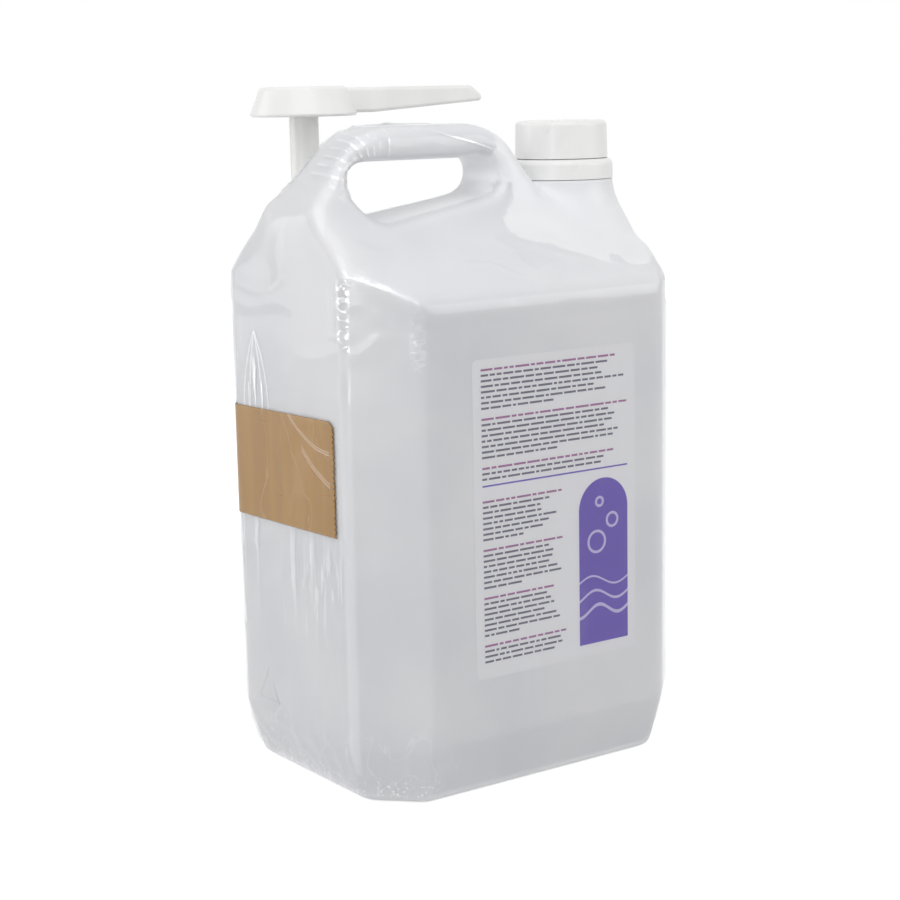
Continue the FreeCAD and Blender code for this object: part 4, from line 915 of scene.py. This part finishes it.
def tape_strip(settings):
    """The tape as a thin strip with toothed ends, over film and pump"""
    places, points, normals = wrap_line(settings.grain)
    at_neck = np.where(points[:, 0] > 0, np.abs(points[:, 1] - settings.stop), 1.0).argmin()
    at_post = np.where(points[:, 0] < CAN_LOW.x * 0.95, np.abs(points[:, 1] - TAPE_LOW.y), 1.0).argmin()
    begin = places[at_neck]
    finish = places[at_post]
    columns = int((finish - begin) / settings.grain)
    rows = settings.rows
    up = np.linspace(0, 1, rows)
    wide = TAPE_HIGH.z - TAPE_LOW.z
    along = np.linspace(begin, finish, columns)[:, None] * np.ones(rows)
    height = np.ones((columns, 1)) * up * wide
    teeth = settings.tooth * (2 * np.abs((height / settings.tooth_pitch) % 1 - 0.5) - 0.5)
    along += teeth * (1 - smooth_step(finish - along, 0, 0.006))
    along -= teeth * (1 - smooth_step(along - begin, 0, 0.006))
    over = np.clip(height - wide + settings.corner, 0, settings.corner)
    rounding = settings.corner - np.sqrt(settings.corner ** 2 - over ** 2)
    along -= rounding * smooth_step(along, finish - 0.01, finish)
    ridge = crease(along * 60 + height * 25, height * 42, 1)
    ridge *= smooth_step(ripple(along * 18, height * 16, 2), 0, 0.5)
    out = TAPE_HIGH.x - FILM_HIGH.x + settings.crumple * ridge
    x, y, nx, ny = (np.interp(along, places, item) for item in (*points.T, *normals.T))
    z = TAPE_LOW.z + height + settings.rise - (finish - along) * settings.slant
    mesh = grid_mesh("packing_tape_strip", np.stack([x + nx * out, y + ny * out, z], axis=2), False)
    piece = new_piece("packing_tape_strip", mesh, tape_brown(settings))
    thick = piece.modifiers.new("thickness", "SOLIDIFY")
    thick.thickness = settings.thick
    thick.offset = -1.0
    return settle(piece)


def film_sleeve(settings, shell):
    """The film round can and pump: taut over the panels, drawn in over the foot, and creased"""
    places, points, normals = wrap_line(settings.grain)
    columns = len(places)
    rows = int(FILM_HIGH.z / settings.grain)
    tree = BVHTree.FromObject(shell, bpy.context.evaluated_depsgraph_get())

    def depth(column, z):
        start = Vector((*points[column], z))
        inward = Vector((*-normals[column], 0))
        hit = tree.ray_cast(start, inward, 0.2)
        return hit[3] if hit[0] is not None else 0.2

    middle = (FILM_LOW.z + FILM_HIGH.z) / 2
    off = np.array([depth(i, middle) for i in range(columns)])
    hugs = 1 - smooth_step(off, 0.002, 0.008)
    wave = ripple(places * 45, places * 0, 5) * 0.003
    low = settings.hem * hugs + FILM_LOW.z * (1 - hugs)
    high = FILM_HIGH.z - settings.seam * hugs + wave * (1 - hugs)
    up = np.linspace(0, 1, rows)
    z = low[:, None] + (high - low)[:, None] * up
    inset = np.zeros_like(z)
    for i in range(columns):
        if hugs[i] < 0.01:
            continue
        for j in range(rows):
            if z[i, j] < FILM_LOW.z + 0.006:
                inset[i, j] = np.clip(depth(i, z[i, j]) - settings.slack, 0, settings.draw_in) * hugs[i]
    for _ in range(2):
        inset = (np.roll(inset, 1, 0) + inset * 2 + np.roll(inset, -1, 0)) / 4
        inset[:, 1:-1] = (inset[:, :-2] + inset[:, 1:-1] * 2 + inset[:, 2:]) / 4
    along = places[:, None] * np.ones(rows)
    turn = np.abs(np.cross(normals, np.roll(normals, -3, axis=0)))
    for _ in range(3):
        turn = (np.roll(turn, 1) + turn + np.roll(turn, -1)) / 3
    corner = np.clip(turn / turn.max(), 0, 1)[:, None]
    post_end = smooth_step(-points[:, 0], 0.06, 0.085)[:, None]
    taped = smooth_step(places, 0.2, 0.22)[:, None] * smooth_step(z, TAPE_LOW.z - 0.01, TAPE_LOW.z - 0.002)
    taped = taped * (1 - smooth_step(z, TAPE_HIGH.z + 0.004, TAPE_HIGH.z + 0.012))
    nicks = crease(along * 45, z * 120, settings.seed) * corner
    nicks = nicks * smooth_step(ripple(along * 8, z * 22, 8), -0.2, 0.5)
    nicks = nicks * (0.25 + 0.75 * smooth_step(z, settings.nick_low - 0.01, settings.nick_low))
    folds = crease(along * 70 + z * 12, z * 9, settings.seed + 1)
    folds = folds * post_end * smooth_step(ripple(along * 14, z * 11, 9), 0.0, 0.5)
    arches = crease(along * 40 - z * 45, z * 60, settings.seed + 2) * post_end
    arches = arches * smooth_step(ripple(along * 16, z * 16, 10), 0.05, 0.5)
    crush = crease(along * 75, z * 85, settings.seed + 3) * (1 - smooth_step(z, 0.012, 0.05))
    crush = crush * (0.35 + 0.65 * post_end) * hugs[:, None]
    broad = (ripple(along * 20, z * 9, settings.seed + 4) + 1) * 0.00006
    out = nicks * settings.nick + (folds + arches) * settings.fold + crush * settings.crush + broad
    out = out * (1 - taped) - inset
    x = points[:, 0][:, None] + normals[:, 0][:, None] * out
    y = points[:, 1][:, None] + normals[:, 1][:, None] * out
    return grid_mesh("film_sleeve", np.stack([x, y, z], axis=2), True), places[-1], float(np.mean(high - low))


def film_crown(settings, shell):
    """The film over roof and handle: a skin on the can's own shape, torn off before the neck"""
    tree = BVHTree.FromObject(shell, bpy.context.evaluated_depsgraph_get())
    work = bmesh.new()
    work.from_mesh(shell.data)
    seam = FILM_HIGH.z - settings.seam
    bare = []
    for face in work.faces:
        middle = face.calc_center_median()
        torn = noise.noise(middle * 60) * settings.tear
        beside_neck = (middle.xy - NECK_AXIS.xy).length < BAND_RADIUS * 2.2 + torn
        beside_pump = (middle.xy - PUMP_AXIS.xy).length < COLLAR_RADIUS * 1.2 and middle.y > 0
        if middle.z < seam or beside_neck or beside_pump:
            bare.append(face)
        elif tree.ray_cast(middle + face.normal * MERGE * 100, face.normal, BAND_RADIUS * 2)[0] is not None:
            bare.append(face)
    bmesh.ops.delete(work, geom=bare, context="FACES")
    ease = {}
    ring = {vert for vert in work.verts if vert.is_boundary and vert.co.z > seam + settings.grain * 0.6}
    for amount in CROWN_EASE:
        ease.update(dict.fromkeys(ring, amount))
        ring = {edge.other_vert(vert) for vert in ring for edge in vert.link_edges} - ease.keys()
    for vert in work.verts:
        place = vert.co
        patch = smooth_step(noise.noise(place * 28), 0.0, 0.4)
        ridge = (1 - abs(noise.noise(Vector((place.x * 55, place.y * 25, place.z * 70))))) ** 5
        bend = math.atan2(place.z - settings.bend_height, place.x - settings.bend_place)
        pleat = (1 - abs(noise.noise(Vector((bend * 6, place.y * 18, 4.0))))) ** 4
        on_bend = smooth_step(place.z, settings.bend_height - 0.006, settings.bend_height + 0.004)
        on_bend *= smooth_step(-place.x, 0.012, 0.03)
        rise = (patch * ridge + on_bend * pleat * 1.4) * settings.fold
        on_seam = place.z < seam + settings.grain * 0.6
        lift = settings.slack + rise * smooth_step(place.z, seam, seam + settings.grain * 6)
        vert.co = place + vert.normal * lift * ease.get(vert, 1.0)
        if on_seam:
            vert.co.z = seam
    crown = bpy.data.meshes.new("film_crown")
    work.to_mesh(crown)
    work.free()
    return crown


def film_wrap(settings, shell):
    """Sleeve and crown as one film piece, with the size of the sheet laid flat"""
    sleeve, round_it, tall = film_sleeve(settings, shell)
    crown = film_crown(settings, shell)
    over = sum(face.area for face in crown.polygons)
    work = bmesh.new()
    for mesh in (sleeve, crown):
        work.from_mesh(mesh)
    joined = bpy.data.meshes.new("film_wrap")
    work.to_mesh(joined)
    work.free()
    for mesh in (sleeve, crown):
        bpy.data.meshes.remove(mesh)
    joined.shade_smooth()
    return new_piece("film_wrap", joined, film_clear(settings)), (round_it, tall + over / round_it)


class LOTION_OT_can_shell(bpy.types.Operator):
    """Builds the can's softened shell and its moulded triangle"""
    bl_idname = "lotion.can_shell"
    bl_label = "Can Shell"

    def execute(self, context):
        settings = context.scene.lotion_can
        plastic = can_plastic(settings)
        shell = soften_can(settings)
        shell.data.materials.append(plastic)
        publish(shell, "can", "can_plastic", "can_body")
        mark = moulded_mark(settings)
        mark.data.materials.append(plastic)
        publish(mark, "can", "can_plastic")
        return {"FINISHED"}


class LOTION_OT_closure(bpy.types.Operator):
    """Finishes the cap, its sealing disc and the tamper band"""
    bl_idname = "lotion.closure"
    bl_label = "Cap"

    def execute(self, context):
        settings = context.scene.lotion_can
        dress(moulded_plastic("cap_plastic", settings.cap, 0.24), "screw_cap", "tamper_band")
        dress(moulded_plastic("liner_foam", settings.cap, 0.6, 500), "cap_liner")
        return {"FINISHED"}


class LOTION_OT_label(bpy.types.Operator):
    """Prints the front label"""
    bl_idname = "lotion.label"
    bl_label = "Label"

    def execute(self, context):
        settings = context.scene.lotion_label
        dress(label_print(settings), "front_label")
        left = LABEL_LOW.x + settings.margin
        top = LABEL_HIGH.z - settings.margin
        wide = LABEL_HIGH.x - settings.margin - left
        narrow = settings.block_left - settings.gutter - left
        upper_lines = int((top - settings.block_high - settings.margin) / settings.pitch)
        lower_lines = int((settings.block_high - settings.block_low) / settings.pitch)
        ink = print_ink("small_print", settings.ink)
        accent = print_ink("heading_print", settings.accent)
        upper = (left, top, wide, upper_lines)
        lower = (left, settings.block_high - settings.pitch, narrow, lower_lines)
        for name, place, headings, material in (
                ("label_upper_print", upper, False, ink), ("label_upper_headings", upper, True, accent),
                ("label_lower_print", lower, False, ink), ("label_lower_headings", lower, True, accent)):
            publish(small_print(settings, name, *place, material, headings), "can", "label_paper")
        return {"FINISHED"}


class LOTION_OT_pump(bpy.types.Operator):
    """Finishes the pump and winds its spring"""
    bl_idname = "lotion.pump"
    bl_label = "Pump"

    def execute(self, context):
        settings = context.scene.lotion_pump
        dress(moulded_plastic("pump_plastic", settings.plastic, 0.2), "pump_head", "pump_stem", "pump_collar")
        guide = moulded_plastic("guide_plastic", settings.plastic, 0.35)
        dress(guide, "stem_guide", "piston", "ball_retainer")
        dress(natural_plastic(settings), "pump_cylinder", "dip_tube")
        dress(seal_rubber(settings), "piston_ring", "neck_gasket")
        dress(bright_steel("ball_steel", settings.steel, 0.06, (1, 1, 1)), "inlet_ball", "outlet_ball")
        spring = coil_spring(settings, bright_steel("spring_steel", settings.steel, 0.25, (1, 1, 0.2)))
        publish(spring, "can", "spring_steel", "return_spring")
        tall = SPRING_HIGH.z - SPRING_LOW.z
        (tall - PRESS_TRAVEL) / tall
        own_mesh(spring)
        return {"FINISHED"}


class LOTION_OT_tape(bpy.types.Operator):
    """Lays the packing tape"""
    bl_idname = "lotion.tape"
    bl_label = "Tape"

    def execute(self, context):
        publish(tape_strip(context.scene.lotion_tape), "can", "tape_brown", "packing_tape")
        return {"FINISHED"}


class LOTION_OT_film(bpy.types.Operator):
    """Winds the stretch film"""
    bl_idname = "lotion.film"
    bl_label = "Film"

    def execute(self, context):
        settings = context.scene.lotion_film
        film, flat = film_wrap(settings, bpy.data.objects["can_shell"])
        publish(film, "can", "film_clear", "stretch_film")
        return {"FINISHED"}


class LOTION_OT_stage(bpy.types.Operator):
    """Sets the floor, the light and the camera"""
    bl_idname = "lotion.stage"
    bl_label = "Stage"

    def execute(self, context):
        settings = context.scene.lotion_stage
        scene = context.scene
        scene.view_settings.view_transform = "Standard"
        new_piece("floor", floor_mesh(), floor_finish(settings))
        scene.world = studio_world(settings)
        for name, lamp in LAMPS.items():
            add_lamp(name, *lamp)
        scene.camera = aim_camera(settings)
        return {"FINISHED"}


def floor_mesh():
    mesh = bpy.data.meshes.new("floor")
    half = FLOOR_HALF
    corners = [(-half, -half, 0), (half, -half, 0), (half, half, 0), (-half, half, 0)]
    mesh.from_pydata(corners, [], [(0, 1, 2, 3)])
    return mesh


def seen_directly(tree):
    """1 for what the camera sees, also in gloss and through clear pieces"""
    rays = [tree.node("ShaderNodeLightPath", output=name)
            for name in ("Is Camera Ray", "Is Glossy Ray", "Is Transmission Ray")]
    return tree.math("MINIMUM", rays[0] + rays[1] + rays[2], 1.0)


def floor_finish(settings):
    finish = Finish("floor")
    pale = finish.cloud(3.0, 2.0)
    shade = finish.mix(pale * 0.3, settings.floor, tone(232, 232, 233))
    matt = finish.node("ShaderNodeBsdfDiffuse", sockets={"Color": shade})
    glow = finish.node("ShaderNodeEmission", sockets={"Strength": seen_directly(finish) * settings.glow})
    return finish.close(finish.node("ShaderNodeAddShader", sockets={0: matt, 1: glow}))


def studio_world(settings):
    world = bpy.data.worlds.new("studio")
    world.use_nodes = True
    tree = Tree(world.node_tree)
    tree.tree.nodes.clear()
    direct = seen_directly(tree)
    strength = direct + (1 - direct) * settings.ambient
    light = tree.node("ShaderNodeBackground", sockets={"Color": (1, 1, 1, 1), "Strength": strength})
    tree.node("ShaderNodeOutputWorld", sockets={"Surface": light})
    return world


def add_lamp(name, place, wide, tall, power):
    lamp = bpy.data.lights.new(name, "AREA")
    lamp.shape = "RECTANGLE"
    lamp.size = wide
    lamp.size_y = tall
    lamp.energy = power
    holder = bpy.data.objects.new(name, lamp)
    holder.location = place
    holder.rotation_euler = (Vector(LAMP_AIM) - Vector(place)).to_track_quat("-Z", "Y").to_euler()
    bpy.context.scene.collection.objects.link(holder)


def aim_camera(settings):
    azimuth, elevation, roll = settings.azimuth, settings.elevation, settings.roll
    level = math.cos(elevation)
    back = Vector((-math.sin(azimuth) * level, -math.cos(azimuth) * level, math.sin(elevation)))
    right = Vector((0, 0, 1)).cross(back).normalized()
    up = back.cross(right)
    across = right * math.cos(roll) + up * math.sin(roll)
    upright = up * math.cos(roll) - right * math.sin(roll)
    data = bpy.data.cameras.new("camera")
    data.lens = settings.lens
    data.sensor_width = settings.sensor
    camera = bpy.data.objects.new("camera", data)
    turn = Matrix((across, upright, back)).transposed().to_4x4()
    camera.matrix_world = Matrix.Translation(settings.place) @ turn
    bpy.context.scene.collection.objects.link(camera)
    return camera


OPERATORS = (
    LOTION_OT_can_shell, LOTION_OT_closure, LOTION_OT_label, LOTION_OT_pump, LOTION_OT_tape, LOTION_OT_film,
    LOTION_OT_stage)


class LOTION_PT_panel(bpy.types.Panel):
    """Lists the steps that dress the can"""
    bl_idname = "LOTION_PT_panel"
    bl_label = "Lotion Can"
    bl_space_type = "VIEW_3D"
    bl_region_type = "UI"
    bl_category = "Lotion Can"

    def draw(self, context):
        for operator in OPERATORS:
            self.layout.operator(operator.bl_idname)


SETTINGS = {
    "lotion_can": CanSettings, "lotion_label": LabelSettings, "lotion_pump": PumpSettings,
    "lotion_tape": TapeSettings, "lotion_film": FilmSettings, "lotion_stage": StageSettings}
CLASSES = (*SETTINGS.values(), *OPERATORS, LOTION_PT_panel)


def register():
    for item in CLASSES:
        bpy.utils.register_class(item)
    for name, group in SETTINGS.items():
        setattr(bpy.types.Scene, name, PointerProperty(type=group))


def unregister():
    for name in SETTINGS:
        delattr(bpy.types.Scene, name)
    for item in reversed(CLASSES):
        bpy.utils.unregister_class(item)


def main():
    register()
    for operator in OPERATORS:
        family, step = operator.bl_idname.split(".")
        getattr(getattr(bpy.ops, family), step)()


if __name__ == "__main__":
    main()
